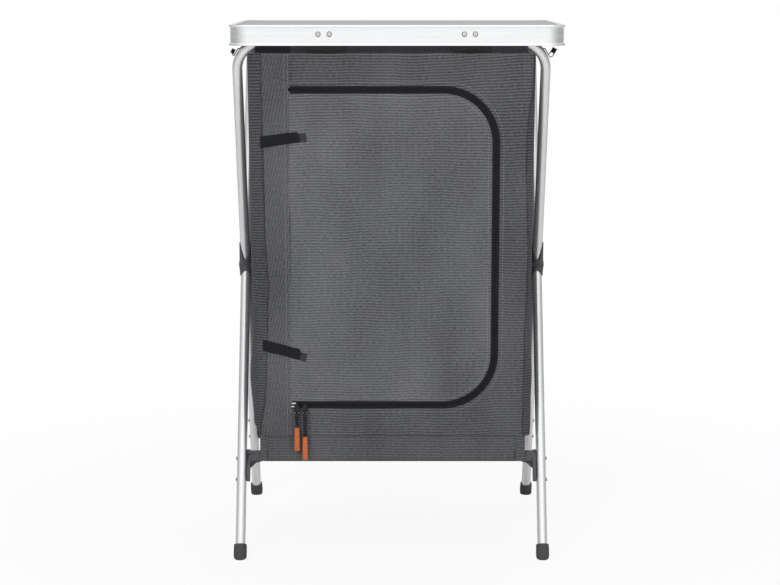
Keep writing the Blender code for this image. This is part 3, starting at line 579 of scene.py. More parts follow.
def make_hub(side, outward, facing_above):
    """A dished plate with a socket and a square neck to each of its two tubes."""
    bm = bmesh.new()
    centre = Vector((leg_x[side], 0, pivot_height))
    axis = x_way * outward
    profile = [(hub_radius, 0.0002), (hub_radius, hub_half - 0.0016), (hub_radius - 0.0016, hub_half),
               (0.0135, hub_half), (0.0125, hub_dish), (0.0085, hub_dish), (0.0078, hub_half)]
    lathe(bm, profile, centre, axis, 48)
    for facing, above in ((facing_above, True), (-facing_above, False)):
        make_socket(bm, side, facing, above)
        corners = [bm.verts.new(beside_tube(side, facing, above, reach, outward * depth, sideways))
                   for reach in (0.006, 0.0150)
                   for sideways in (-neck_half, neck_half)
                   for depth in (0.0002, hub_dish)]
        for face in ((0, 1, 3, 2), (4, 6, 7, 5), (0, 4, 5, 1), (2, 3, 7, 6), (0, 2, 6, 4), (1, 5, 7, 3)):
            bm.faces.new([corners[index] for index in face])
    return bm


for side, sign in sides_of.items():
    for half, facing in (("outer", 1), ("inner", -1)):
        piece(f"hub_half_{half}_{side}", make_hub(side, facing * sign, facing), grey_plastic,
              frame_body[-facing], [f"hub_{half}_{side}"], bevel=0.0005, sharp=35)

# %% [markdown]
# ## Rivets and screws
# The clips below the top are held by pairs of blind rivets, front and rear: a low dome with a hollow
# where the pin broke off, with a thin dark ring round its foot. Each bracket has two screws from the outer
# side.

# %% Rivets and screws
rivet_places = (-0.1400, -0.1200, 0.1190, 0.1385)
rivet_height = 0.950
web_face = 0.230 - 0.0026
dome = ((0.0038, 0.0002), (0.0038, 0.0008), (0.0033, 0.0017), (0.0022, 0.0022), (0.0014, 0.0022),
        (0.0012, 0.0004))
# A thin dark ring round the foot of each rivet head.
dark_ring = ((0.0047, -0.0004), (0.0047, 0.0003), (0.0036, 0.0003))
screw_head = ((0.0034, 0.0), (0.0034, 0.0012), (0.0028, 0.0022), (0.0016, 0.0026), (0.0014, 0.0014))
screw_heights = (0.170, 0.134)


def make_rivets(facing, profile):
    bm = bmesh.new()
    for x in rivet_places:
        lathe(bm, profile, Vector((x, facing * web_face, rivet_height)), facing * y_way, 24)
    return bm


for word, facing in ends_of.items():
    replaced = [f"rim_rivet_{number}" for number in range(1, 5)] if facing < 0 else []
    piece(f"rivets_{word}", make_rivets(facing, dome), rivet_metal, "tabletop", replaced)
    piece(f"rivet_washers_{word}", make_rivets(facing, dark_ring), black_plastic, "tabletop")

for word, facing in ends_of.items():
    for side, sign in sides_of.items():
        bm = bmesh.new()
        for height in screw_heights:
            reach = (pivot_height - height + jog * sin(lean)) / cos(lean)
            place = Vector((leg_x[side] + sign * (tube_radius - 0.0003), *arm_point(facing, False, reach)))
            lathe(bm, screw_head, place, sign * x_way, 20)
        piece(f"bracket_screws_{word}_{side}", bm, steel_metal, frame_body[facing])

# %% [markdown]
# ## Hard parts that keep their solids
# Brackets, bolts, clips, floor rails, shelves and the board have the right shape already. A small
# node tree joins their loose triangles and smooths all but the sharp edges, and a bevel breaks the
# edges as a mould does. The solid itself isn't touched.

# %% Smoothing and edges for the solids
weld_distance = 0.00001


def geometry_tree(name, takes, gives):
    """A node tree with its inputs by name and kind, one geometry output, and the nodes of both."""
    tree = bpy.data.node_groups.new(name, "GeometryNodeTree")
    for label, kind in takes.items():
        tree.interface.new_socket(label, in_out="INPUT", socket_type=f"NodeSocket{kind}")
    tree.interface.new_socket(gives, in_out="OUTPUT", socket_type="NodeSocketGeometry")
    return tree, tree.nodes.new("NodeGroupInput"), tree.nodes.new("NodeGroupOutput")


def smoothing_tree():
    tree, start, end = geometry_tree("smooth all but sharp edges",
                                     {"Solid": "Geometry", "Sharp above": "Float"}, "Solid")
    weld = tree.nodes.new("GeometryNodeMergeByDistance")
    weld.inputs["Distance"].default_value = weld_distance
    smooth = tree.nodes.new("GeometryNodeSetShadeSmooth")
    crisp = tree.nodes.new("GeometryNodeSetShadeSmooth")
    crisp.domain = "EDGE"
    crisp.inputs["Shade Smooth"].default_value = False
    angle = tree.nodes.new("GeometryNodeInputMeshEdgeAngle")
    above = tree.nodes.new("FunctionNodeCompare")
    above.operation = "GREATER_THAN"
    for first, second in ((start.outputs[0], weld.inputs["Geometry"]),
                          (weld.outputs[0], smooth.inputs["Geometry"]),
                          (smooth.outputs[0], crisp.inputs["Geometry"]),
                          (angle.outputs["Unsigned Angle"], above.inputs[0]),
                          (start.outputs[1], above.inputs[1]),
                          (above.outputs[0], crisp.inputs["Selection"]),
                          (crisp.outputs[0], end.inputs[0])):
        tree.links.new(first, second)
    return tree


smooth_but_sharp = smoothing_tree()


def socket_key(tree, name):
    """A modifier knows its inputs by identifier, not by name."""
    return next(item.identifier for item in tree.interface.items_tree
                if item.name == name and item.in_out == "INPUT")


def dress(name, finish, edge, sharp=38):
    """Gives a solid its finish, smooth rounds and broken edges."""
    item = nodes[name]
    paint(item.data, finish)
    step = item.modifiers.new("smooth", "NODES")
    step.node_group = smooth_but_sharp
    step[socket_key(smooth_but_sharp, "Sharp above")] = radians(sharp)
    if edge:
        break_edges(item, edge, sharp)


for side in sides_of:
    for word in ends_of:
        dress(f"bracket_{word}_{side}", grey_plastic, 0.0006)
    dress(f"pivot_bolt_{side}", steel_metal, 0.0003)
    dress(f"rest_clip_{side}", black_plastic, 0.0004)
    dress(f"hinge_clip_{side}", black_plastic, 0.0004)
for word in ends_of:
    dress(f"bottom_rail_{word}", tube_metal, 0.0)
for word in ("low", "mid", "high"):
    dress(f"shelf_{word}_board", shelf_board, 0.0006)
dress("tabletop_board", board_face, 0.0005)

# %% [markdown]
# ## Webs of the brackets
# Each bracket has a thin web in the corner between its plate and its arm.

# %% Bracket webs
rail_height = 0.1745
rail_radius = 0.0060
rail_depth = jog * cos(lean) + (pivot_height - rail_height + jog * sin(lean)) / cos(lean) * sin(lean)
arm_half = 0.0105
web_reach = 0.0150
web_thick = 0.0024
for word, facing in ends_of.items():
    for side, sign in sides_of.items():
        low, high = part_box(f"bracket_{word}_{side}")
        arm_end = low.x if sign > 0 else high.x
        bm = bmesh.new()
        layers = []
        for forward in (-web_thick / 2, web_thick / 2):
            outline = [(arm_end, 0.0005), (arm_end + sign * 0.0270, 0.0005),
                       (arm_end + sign * 0.0260, -web_reach), (arm_end + sign * 0.0130, -0.0030)]
            layers.append([bm.verts.new((x, facing * rail_depth + forward, rail_height - arm_half + down))
                           for x, down in outline])
        piece(f"bracket_web_{word}_{side}", capped(bm, layers), grey_plastic, frame_body[facing],
              bevel=0.0004)

# %% [markdown]
# ## Wire catches
# A catch is a wire that goes through the bend of the front bar. Inside the bend its end lies along the
# tube. Outside it splits into a bail of two strands that carry a ribbed black sleeve for the finger.
# Places are out and up from the pin. A grip has its middle, its radius, half its length and its tilt.

# %% Catches
catch_strand = 0.0009
catch_grips = {
    "left": ((0.0222, -0.0044), 0.0036, 0.0040, radians(-28)),
    "right": ((0.0290, -0.0034), 0.0046, 0.0048, radians(31)),
}
catch_pin_places = {"left": 0.0245, "right": 0.0300}
pin_below_grip = 0.0019
along_the_bend = [(-0.0037, -0.0126), (-0.0074, -0.0081), (-0.0116, -0.0042), (-0.0160, -0.0006),
                  (-0.0120, 0.0), (0.0, 0.0), (0.0128, 0.0), (0.0144, -0.0014), (0.0164, -0.0046),
                  (0.0186, -0.0088)]
catch_strands = {
    "left": (along_the_bend + [(0.0206, -0.0122), (0.0228, -0.0112), (0.0240, -0.0080)],
             [(0.0182, -0.0080), (0.0196, -0.0104), (0.0208, -0.0096), (0.0212, -0.0078)]),
    "right": (along_the_bend + [(0.0222, -0.0144), (0.0266, -0.0136), (0.0294, -0.0092)],
              [(0.0186, -0.0086), (0.0204, -0.0096), (0.0226, -0.0070), (0.0250, -0.0050)]),
}


def through(places, steps=6):
    """A smooth line through a few places."""
    line = []
    for index in range(len(places) - 1):
        four = [Vector(places[min(max(index + shift, 0), len(places) - 1)]) for shift in (-1, 0, 1, 2)]
        for step in range(steps):
            t = step / steps
            line.append(0.5 * (2 * four[1] + t * (four[2] - four[0])
                               + t * t * (2 * four[0] - 5 * four[1] + 4 * four[2] - four[3])
                               + t ** 3 * (3 * four[1] - four[0] - 3 * four[2] + four[3])))
    return line + [Vector(places[-1])]


for side, sign in sides_of.items():
    low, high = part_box(f"catch_grip_{side}")
    pin_x = (low.x + high.x) / 2 - sign * catch_pin_places[side]
    pin = Vector((pin_x, (low.y + high.y) / 2, high.z - pin_below_grip))
    bm = bmesh.new()
    for strand in catch_strands[side]:
        line = [pin + Vector((sign * out, 0, up)) for out, up in through(strand)]
        sweep(bm, line, y_way, catch_strand, 10)
    piece(f"catch_bail_{side}", bm, wire_metal, f"catch_{side}", [f"catch_wire_{side}"])
    (out, up), radius, half, tilt = catch_grips[side]
    profile = []
    for start in between(-half, half, 4)[:-1]:
        profile += [(0.84 * radius, start), (radius, start + 0.12 * half), (radius, start + 0.38 * half)]
    profile.append((0.84 * radius, half))
    grip = lathe(bmesh.new(), profile, pin + Vector((sign * out, 0, up)),
                 Vector((sign * sin(tilt), 0, cos(tilt))), 24)
    piece(f"catch_sleeve_{side}", grip, black_plastic, f"catch_{side}", [f"catch_grip_{side}"])

# %% [markdown]
# ## Edge trim of the top
# The board sits in a drawn aluminium edge: a proud lip above and below, a web that is set back a
# little, and fine lines along it that the die leaves. The section is carried round the rounded
# rectangle.

# %% Edge trim
top_width = 0.600
top_depth = 0.460
rim_height = 0.0365
rim_corner = 0.035
rim_low = top_height - rim_height
web_set_back = 0.0026
rim_wall = 0.0035
ledge_reach = 0.0090
ledge_thick = 0.0015
rim_round = 0.0006
board_thick = 0.006
line_depth = 0.00045
line_half = 0.0004
line_heights = (0.0160, 0.0272, 0.0308)


def rim_section():
    """How far in from the outer face, and how high above the lower edge."""
    lip = [(rim_round, 0.0), (0.0, rim_round), (0.0, 0.0024), (0.0005, 0.0036), (web_set_back, 0.0046)]
    web = []
    for height in line_heights:
        web += [(web_set_back, height - 2 * line_half), (web_set_back + line_depth, height - line_half),
                (web_set_back + line_depth, height + line_half), (web_set_back, height + 2 * line_half)]
    top_lip = [(inward, rim_height - height) for inward, height in lip[::-1][:-1]]
    crest = [(0.0004, rim_height - rim_round), (0.0012, rim_height),
             (ledge_reach - rim_round, rim_height), (ledge_reach, rim_height - rim_round),
             (ledge_reach, rim_height - ledge_thick), (rim_wall, rim_height - ledge_thick)]
    ledge = rim_height - ledge_thick - board_thick - rim_round
    inside = [(rim_wall, ledge), (ledge_reach, ledge), (ledge_reach, ledge - ledge_thick),
              (rim_wall, ledge - ledge_thick), (rim_wall, 0.0)]
    return lip + web + top_lip[:-1] + crest + inside


def around_top(steps):
    """The middle of each corner's curve and the way outwards, round the four corners in turn."""
    for quarter in range(4):
        sign_x = (1, -1, -1, 1)[quarter]
        sign_y = (1, 1, -1, -1)[quarter]
        centre = Vector((sign_x * (top_width / 2 - rim_corner), sign_y * (top_depth / 2 - rim_corner), 0))
        for step in range(steps + 1):
            turn = (quarter + step / steps) * pi / 2
            yield centre, Vector((cos(turn), sin(turn), 0))


def make_trim():
    bm = bmesh.new()
    rings = [[bm.verts.new(centre + facing * (rim_corner - inward) + z_way * (rim_low + height))
              for inward, height in rim_section()] for centre, facing in around_top(18)]
    skin(bm, rings + rings[:1])
    return bm


piece("edge_trim", make_trim(), rim_metal, "tabletop", ["tabletop_rim"], sharp=25)

# %% [markdown]
# ## The cabinet's walls
# The cloth is stretched between the two bars above and the two rails below. It swells a little in
# the middle, turns a round corner into each side, and is a ribbed sheet, so a fine grid of rows, four
# to a rib, gives it the swell, soft folds and the ribs at once.

# %% Shape of the cloth
width_top = 0.517
width_low = 0.505
corner = 0.020
floor_depth = 0.338
panel_low = 0.2130
front_high = bar_height - 0.0120
back_high = bar_height - 0.0300
most_crown = 0.0050
sleeve_wall = 0.0014
cloth_thick = 0.0012


def rise(z):
    """0 at the floor rail and 1 at the bar."""
    return (z - rail_height) / (bar_height - rail_height)


def half_width(z):
    """Half the cabinet's width at a height."""
    return (width_low + (width_top - width_low) * rise(z)) / 2


def flat_depth(z):
    """How far the front and back are from the middle at a height, before they swell."""
    low = floor_depth / 2 + rail_radius
    return low + (bar_depth + sleeve_wall - low) * rise(z)


def crown(x, z):
    """How far the front and back swell, most of all in the middle."""
    share = min(max((z - panel_low) / (front_high - panel_low), 0.0), 1.0)
    return most_crown * sin(pi * share) * cos(pi / 2 * min(abs(x) / half_width(z), 1.0))


def eased(value):
    """From 0 to 1 without a corner at either end."""
    value = min(max(value, 0.0), 1.0)
    return value * value * (3 - 2 * value)


def wall_point(facing, x, turn, z, proud):
    """A point on the front or back cloth: x across the flat part, turn round the corner."""
    sign = 1 if x > 0 else -1
    out = flat_depth(z) - corner + crown(x, z) + (corner + proud) * cos(turn)
    return Vector((frame_shift + x + sign * (corner + proud) * sin(turn), facing * out, z))


def surface(x, z, lift):
    """A point just in front of the flat part of the front cloth."""
    return wall_point(-1, x, 0.0, z, lift)


def waves(x, z, *terms):
    """A sum of waves, each with its height, how fast it turns along x and along z, and its start."""
    return sum(height * sin(along * x + up * z + start) for height, along, up, start in terms)


def drift(x, z):
    """How far the ribs are pulled off the level: waves, and a lift towards the upper right corner."""
    pulled = waves(x, z, (0.0016, 11, 7, 0.0), (0.0008, 29, -17, 2.0), (0.0004, 83, 5, 0.0))
    return pulled - 0.055 * max(x - 0.02, 0.0) * eased((z - 0.70) / 0.20)


def ridge(across):
    """The relief of the ribs."""
    return rib_relief * cos(2 * pi * across / rib_pitch)


def rows(low, high, to_rib=4):
    return between(low, high, max(int(ceil((high - low) / rib_pitch * to_rib)), 1))


def around(s, z, proud=0.0, facing=-1):
    """A point on the cabinet's wall: s runs across the front from its middle and on round a corner."""
    edge = half_width(z) - corner
    sign = 1 if s > 0 else -1
    past = abs(s) - edge
    if past <= 0:
        return wall_point(facing, s, 0.0, z, proud)
    if past <= corner * pi / 2:
        return wall_point(facing, sign * edge, past / corner, z, proud)
    back = flat_depth(z) - corner - (past - corner * pi / 2)
    return Vector((frame_shift + sign * (half_width(z) + proud), facing * back, z))


def sheet_mesh(points):
    """A sheet through rows of points, each with its place in the weave. None leaves a hole."""
    bm = bmesh.new()
    weave = bm.loops.layers.uv.new("weave")
    woven = {}
    made = []
    for row in points:
        line = []
        for entry in row:
            vert = None
            if entry:
                vert = bm.verts.new(entry[0])
                woven[vert] = entry[1:]
            line.append(vert)
        made.append(line)
    for here, there in zip(made, made[1:]):
        for step in range(len(here) - 1):
            four = (here[step], here[step + 1], there[step + 1], there[step])
            if all(four):
                for loop in bm.faces.new(four).loops:
                    loop[weave].uv = woven[loop.vert]
    for vert in [v for v in bm.verts if not v.link_faces]:
        bm.verts.remove(vert)
    return bm


# %% [markdown]
# The frame folds like scissors, and the real cloth goes slack and folds up with it. Every piece of
# cloth is given a mesh of its own.

# %% A mesh of its own for each piece of cloth
def fold_flat(item):
    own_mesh(item)
    return item


def held_cloth(name, points, finish, body, replaced, flat, rests_on, **more):
    """A sheet of cloth that is stretched between its neighbours; its flat size is not used."""
    item = piece(name, sheet_mesh(points), finish, body, replaced, thick=cloth_thick, sharp=80)
    return item


# %% [markdown]
# The front has a wide flap of cloth down its left side with its ribs upright, then the door, and a
# strip that turns the right corner. The door's opening is square on the left, where it folds, and
# round on the right.

# %% Front cloth round the door
door_left = -0.184
door_right = 0.188
door_low = 0.273
door_high = 0.851
door_corner = 0.095
zip_gap = 0.0030


def door_edge(z, grow):
    """How far right the door's line is at a height, with grow outside it."""
    radius = door_corner + grow
    for middle, past in ((door_low + door_corner, -1), (door_high - door_corner, 1)):
        if (z - middle) * past > 0:
            return door_right - door_corner + sqrt(max(radius ** 2 - (z - middle) ** 2, 0.0))
    return door_right + grow


def zip_distance(x, z):
    """How far a point is outside the zip's line; negative on the door."""
    middle = (door_low + door_high) / 2
    up = abs(z - middle) - ((door_high - door_low) / 2 - door_corner)
    right = x - (door_right - door_corner)
    if up > 0 and right > 0:
        return hypot(up, right) - door_corner
    return max(up, right) - door_corner


def creases(x, z):
    """Soft folds of the front, flat along the zip, the top seam and the hem."""
    wander = waves(x, z, (0.0020, 31, 13, 0.0), (0.0014, 57, -24, 1.0), (0.0007, 95, 61, 0.5))
    pulled = 0.0022 * exp(-((x + 0.142 + 0.55 * (z - 0.895)) / 0.006) ** 2) * eased((z - 0.87) / 0.02)
    edges = eased((z - panel_low) / 0.03) * eased((seam_height - z) / 0.012)
    return (wander * eased(abs(zip_distance(x, z)) / 0.030 - 0.25) + pulled) * edges


seam_height = 0.9160
corner_seams = {
    "left": ((0.213, -0.2510), (0.2485, -0.2470), (0.285, -0.2417), (0.331, -0.2390), (0.463, -0.2354),
             (0.490, -0.2318), (0.528, -0.2354), (0.596, -0.2390), (0.916, -0.2430)),
    "right": ((0.213, 0.2320), (0.600, 0.2360), (0.770, 0.2338), (0.871, 0.2437), (0.916, 0.2460)),
}


def seam_at(side, z):
    """Where the corner seam crosses a height, measured from the middle of the cabinet."""
    places = corner_seams[side]
    for (low, first), (high, last) in zip(places, places[1:]):
        if z <= high:
            return first + (last - first) * eased((z - low) / (high - low)) - frame_shift
    return places[-1][1] - frame_shift


def front_rows():
    """The strip right of the door, and the whole width above and below it."""
    low, high = door_low - zip_gap, door_high + zip_gap
    over_door = 40
    points = []
    for z in rows(panel_low, low)[:-1] + rows(low, high) + rows(high, seam_height)[1:]:
        start = door_edge(min(max(z, low), high), zip_gap)
        strip = between(start, seam_at("right", z), 18)
        if low < z < high:
            row = [None] * over_door
        else:
            row = []
            strip = between(door_left, start, over_door)[:-1] + strip
        for s in strip:
            across = z + drift(s, z)
            row.append((around(s, z, ridge(across) + creases(s, z)), s, across))
        points.append(row)
    return points


fold_flat(held_cloth("front_cloth", front_rows(), wall_cloth_in_painted_shade, "base_frame", ["front_panel"],
                     flat=(0.430, 0.703), area=0.100, rests_on=["front_skirt", "front_hem_band"]))


# %% Left flap with upright ribs
def flap_rows():
    points = []
    for z in rows(panel_low, seam_height, 0.5):
        row = []
        for step, s in enumerate(between(seam_at("left", z), door_left, 60)):
            across = 0.9 * s - 0.22 * z + 0.0008 * sin(23 * z) + 0.0003 * sin(67 * z + 1)
            swell = 0.0007 * sin(pi * step / 60) + creases(s, z)
            row.append((around(s, z, 0.5 * ridge(across) + swell), z, across))
        points.append(row)
    return points


fold_flat(held_cloth("front_flap", flap_rows(), flap_cloth, "base_frame", ["front_panel"],
                     flat=(0.050, 0.703), rests_on=["front_cloth", "side_cloth_left"]))

# %% Side walls and back
side_bulge = 0.0060
side_bulge_height = 0.325
right_bulge = 0.0038
right_bulge_height = 0.235
left_tuck = 0.0120


def side_swell(side, away, z):
    """How far a side bulges at its front edge; away is the distance from the corner seam."""
    swell = side_bulge * exp(-((z - side_bulge_height) / 0.055) ** 2) * eased(away / 0.02)
    if side == "left":
        return swell - left_tuck * (1 - eased((z - panel_low) / 0.024)) * eased(away / 0.012)
    return 0.75 * swell + right_bulge * exp(-((z - right_bulge_height) / 0.045) ** 2) * eased(away / 0.02)


def side_rows(side):
    """From the corner seam on the front, round the corner, to the back."""
    sign = sides_of[side]
    points = []
    for z in rows(panel_low, back_high):
        start = seam_at(side, z)
        end = sign * (half_width(z) - corner + corner * pi / 2 + 2 * (flat_depth(z) - corner))
        bend = sign * (half_width(z) - corner + corner * pi / 2)
        row = []
        for s in between(start, bend, 12)[:-1] + between(bend, end, 40):
            share = min(max((s - bend) / (end - bend), 0.0), 1.0)
            slack = 0.0028 * sin(pi * share) * sin(pi * min(max(rise(z), 0.0), 1.0))
            slack += 0.0010 * sin(31 * s + 13 * z) * sin(pi * share)
            swell = side_swell(side, abs(s - start), z) * eased((1 - share) / 0.6)
            across = z + drift(s, z)
            gain = (seam_height - back_high) * eased((z - 0.84) / (back_high - 0.84)) * (1 - eased(3 * share))
            row.append((around(s, z + gain, ridge(across) + slack + swell), s, across))
        points.append(row)
    return points


def back_rows():
    points = []
    for z in rows(panel_low, back_high):
        end = half_width(z) - corner + corner * pi / 2
        row = []
        for step in range(65):
            s = end * (step / 32 - 1)
            across = z + drift(-s, z)
            row.append((around(s, z, ridge(across) + creases(-0.9 * s, z), 1), s, across))
        points.append(row)
    return points


for side, neighbour in (("left", "front_flap"), ("right", "front_cloth")):
    fold_flat(held_cloth(f"side_cloth_{side}", side_rows(side), side_cloth, "base_frame",
                         [f"side_panel_{side}"], flat=(0.40, 0.70), rests_on=[neighbour, "back_cloth"]))
fold_flat(held_cloth("back_cloth", back_rows(), wall_cloth_in_painted_shade, "base_frame", ["back_panel"],
                     flat=(0.54, 0.70), rests_on=["rear_bent_tube", "rear_hem_band"]))

# %% [markdown]
# Above its seam the front goes on as a skirt with upright ribs, painted darker as the shade under
# the top, which laps over the sleeve of the bar and hides the start of its bends. A black strip lies
# on the skirt beside the left clip.

# %% Skirt over the sleeve
skirt_high = 0.9365
skirt_end = 0.2420


def skirt_out(z):
    """How far the skirt stands out from the line of the cloth, to clear the bar and its sleeve."""
    return -0.0006 + 0.0126 * eased((z - seam_height - 0.0045) / 0.0105)


def skirt_rows(start, end, lift, low):
    points = []
    for s in between(start, end, int((end - start) / rib_pitch * 4) + 1):
        across = s + 0.0006 * sin(9 * s)
        points.append([(surface(s, z, 0.5 * ridge(across) + skirt_out(z) + lift), z, across)
                       for z in between(low, skirt_high, 12)])
    return points


# The skirt's cloth is painted much darker: painted shade under the top.
fold_flat(held_cloth("front_skirt", skirt_rows(-skirt_end, skirt_end, 0.0, seam_height - 0.0012),
                     skirt_cloth_in_painted_shade, "base_frame", ["front_panel"],
                     flat=(0.484, 0.026), rests_on=["front_cloth", "front_bar_sleeve"]))
# A black strip lies on the skirt beside the left clip.
dark_strip = skirt_rows(-skirt_end, -0.180, 0.0009, seam_height + 0.0010)
fold_flat(piece("skirt_binding", sheet_mesh(dark_strip), black_tape, "base_frame", thick=0.0006, sharp=80))

# %% [markdown]
# ## The door
# The door is one panel of the same cloth with its ribs across. It hangs from the fold on the left
# and is held by the zip everywhere else, so its creases die away towards its edges.

# %% Door panel
def door_folds(x, z):
    fade = eased(min(x - door_left, -zip_distance(x, z)) / 0.05)
    long_crease = 0.0046 * exp(-((x + 0.148 + 0.10 * (0.72 - z)) / 0.015) ** 2)
    cross_crease = 0.0028 * exp(-((x * 0.5 + z - 0.66) / 0.02) ** 2)
    wander = waves(x, z, (0.0034, 23, 15, 0.0), (0.0024, 47, -12, 0.6), (0.0006, 101, 71, 0.0))
    return fade * (wander - long_crease + cross_crease)


def door_rows():
    points = []
    for z in rows(door_low + zip_gap, door_high - zip_gap):
        row = []
        for x in between(door_left + 0.0003, door_edge(z, -zip_gap), 72):
            across = z + drift(x, z)
            row.append((surface(x, z, ridge(across) + door_folds(x, z)), x, across))
        points.append(row)
    return points


fold_flat(held_cloth("door_cloth", door_rows(), panel_cloth, "door", ["door_panel"],
                     flat=(0.369, 0.572), rests_on=["zip_web_inner", "front_flap"]))

# %% [markdown]
# ## Rows of small things along a line
# Stitches and zip teeth repeat along a line. One node tree walks along a curve, sets a shape down at
# every pitch and turns it so that its z follows the line and its x faces outwards.

# %% Row tree
outward_front = (0.0, -1.0, 0.0)


def row_tree():
    tree, start, end = geometry_tree("shapes along a line",
                                     {"Line": "Geometry", "Pitch": "Float", "Shape": "Object",
                                      "Outward": "Vector", "Finish": "Material"}, "Row")
    points = tree.nodes.new("GeometryNodeCurveToPoints")
    points.mode = "LENGTH"
    shape = tree.nodes.new("GeometryNodeObjectInfo")
    shape.inputs["As Instance"].default_value = True
    turn = tree.nodes.new("FunctionNodeAlignRotationToVector")
    turn.axis = "X"
    turn.pivot_axis = "Z"
    put = tree.nodes.new("GeometryNodeInstanceOnPoints")
    real = tree.nodes.new("GeometryNodeRealizeInstances")
    coat = tree.nodes.new("GeometryNodeSetMaterial")
    for first, second in ((start.outputs["Line"], points.inputs["Curve"]),
                          (start.outputs["Pitch"], points.inputs["Length"]),
                          (start.outputs["Shape"], shape.inputs["Object"]),
                          (points.outputs["Rotation"], turn.inputs["Rotation"]),
                          (start.outputs["Outward"], turn.inputs["Vector"]),
                          (points.outputs["Points"], put.inputs["Points"]),
                          (shape.outputs["Geometry"], put.inputs["Instance"]),
                          (turn.outputs[0], put.inputs["Rotation"]),
                          (put.outputs[0], real.inputs[0]),
                          (real.outputs[0], coat.inputs["Geometry"]),
                          (start.outputs["Finish"], coat.inputs["Material"]),
                          (coat.outputs[0], end.inputs[0])):
        tree.links.new(first, second)
    return tree


along_a_line = row_tree()


def pebble(length, width, height, sides=6):
    """A small rounded shape: length along z, height along x and width along y."""
    bm = bmesh.new()
    bmesh.ops.create_uvsphere(bm, u_segments=sides, v_segments=4, radius=0.5)
    for vert in bm.verts:
        vert.co = Vector((vert.co.x * height, vert.co.y * width, vert.co.z * length))
    return bm


def row(name, lines, size, pitch, finish, body, replaced=()):
    """Sets pebbles down along lines of points, as one plain mesh."""
    curve = bpy.data.curves.new(name, "CURVE")
    curve.dimensions = "3D"
    for line in lines:
        spline = curve.splines.new("POLY")
        spline.points.add(len(line) - 1)
        for point, place in zip(spline.points, line):
            point.co = (*place, 1.0)
    carrier = placed(name + "_line", curve)
    sample = placed(name + "_shape", mesh_of(name + "_shape", pebble(*size)))
    step = carrier.modifiers.new("row", "NODES")
    step.node_group = along_a_line
    for key, value in (("Pitch", pitch), ("Shape", sample), ("Outward", outward_front), ("Finish", finish)):
        step[socket_key(along_a_line, key)] = value
    item = placed(name, settled(carrier))
    bpy.data.objects.remove(carrier)
    bpy.data.objects.remove(sample)
    item.data.shade_smooth()
    paint(item.data, finish)
    print(name, "faces:", len(item.data.polygons))
    fold_flat(hand_over(item, body, replaced))


# %% [markdown]
# ## Zip
# A woven tape runs along each side of the line, and two rows of teeth mesh between them. Tape and
# teeth of the inner half are sewn to the door, and those of the outer half to the front.

# %% Zip tapes and teeth
zip_half = 0.0068
web_near = 0.0006
web_left = door_left + 0.0030
web_section = ((0.0, 0.0007), (0.12, 0.0011), (0.5, 0.0012), (0.88, 0.0011), (1.0, 0.0007))
tooth_size = (0.0009, 0.0022, 0.0012)
tooth_pitch = 0.0016


def door_line(grow, left):
    """The zip's line, wider by grow, from the lower left round to the upper left."""
    radius = door_corner + grow
    middle_x = door_right - door_corner
    points = [(left, door_low - grow)]
    for middle_z, start in ((door_low + door_corner, -pi / 2), (door_high - door_corner, 0.0)):
        points += [(middle_x + radius * cos(start + turn), middle_z + radius * sin(start + turn))
                   for turn in between(0.0, pi / 2, 24)]
    points.append((left, door_high + grow))
    return points


def spaced(points, longest=0.012):
    line = [points[0]]
    for after in points[1:]:
        before = line[-1]
        count = max(int(ceil(hypot(after[0] - before[0], after[1] - before[1]) / longest)), 1)
        line += [(before[0] + (after[0] - before[0]) * step / count,
                  before[1] + (after[1] - before[1]) * step / count) for step in range(1, count + 1)]
    return line


def make_web(near, far):
    """The tape between two lines round the door, thickest along its middle."""
    bm = bmesh.new()
    rings = []
    for (ax, az), (bx, bz) in zip(*(spaced(door_line(grow, web_left)) for grow in (near, far))):
        ring = [surface(ax + (bx - ax) * share, az + (bz - az) * share, height)
                for share, height in web_section]
        ring += [surface(bx, bz, 0.0003), surface(ax, az, 0.0003)]
        rings.append([bm.verts.new(point) for point in ring])
    return capped(bm, rings)


def zip_line(grow, left, lift, relief=None):
    return [surface(x, z, lift + (relief(x, z) if relief else 0.0))
            for x, z in spaced(door_line(grow, left), 0.004)]


for half, sign, body in (("outer", 1, "base_frame"), ("inner", -1, "door")):
    fold_flat(piece(f"zip_web_{half}", make_web(sign * web_near, sign * zip_half), black_tape, body,
                    [f"zip_tape_{half}"], sharp=60))
    row(f"zip_teeth_{half}", [zip_line(sign * web_near * 1.1, web_left, 0.0013)], tooth_size, tooth_pitch,
        tooth_black, body, [f"zip_tape_{half}"])


# %% Metal end stop of the zip
def block(low, high):
    """A box between two corners."""
    bm = bmesh.new()
    bmesh.ops.create_cube(bm, size=1.0)
    middle, size = (Vector(low) + Vector(high)) / 2, Vector(high) - Vector(low)
    for vert in bm.verts:
        vert.co = middle + Vector([part * length for part, length in zip(vert.co, size)])
    return bm


for word, height in (("low", -0.0030), ("high", 0.0030)):
    stop = block(surface(door_left + 0.0002, door_low + height - 0.0013, 0.0018),
                 surface(door_left + 0.0090, door_low + height + 0.0013, 0.0034))
    fold_flat(piece(f"zip_end_stop_{word}", stop, rivet_metal, "base_frame", bevel=0.0005))
backing = block(surface(door_left - 0.0002, door_low - 0.0056, 0.0006),
                surface(door_left + 0.0100, door_low + 0.0056, 0.0019))
fold_flat(piece("zip_end_patch", backing, black_tape, "base_frame", bevel=0.0004))

# %% [markdown]
# ## Stitching
# A pale double row runs down the flap beside the door's fold. A fine pale row follows the zip on
# either side, and a row holds the cloth to the skirt above it. The corners are piped with a dark cord.

# %% Stitch rows
stitch_size = (0.0027, 0.0007, 0.0006)
hem_stitch_size = (0.0036, 0.0012, 0.0007)
stitch_pitch = 0.0042
flap_heights = rows(panel_low + 0.004, seam_height - 0.004, 0.5)


def level_line(left, z, count):
    """A level line on the front cloth, with a point every four millimetres."""
    return [around(left + 0.004 * step, z, 0.0006) for step in range(count)]


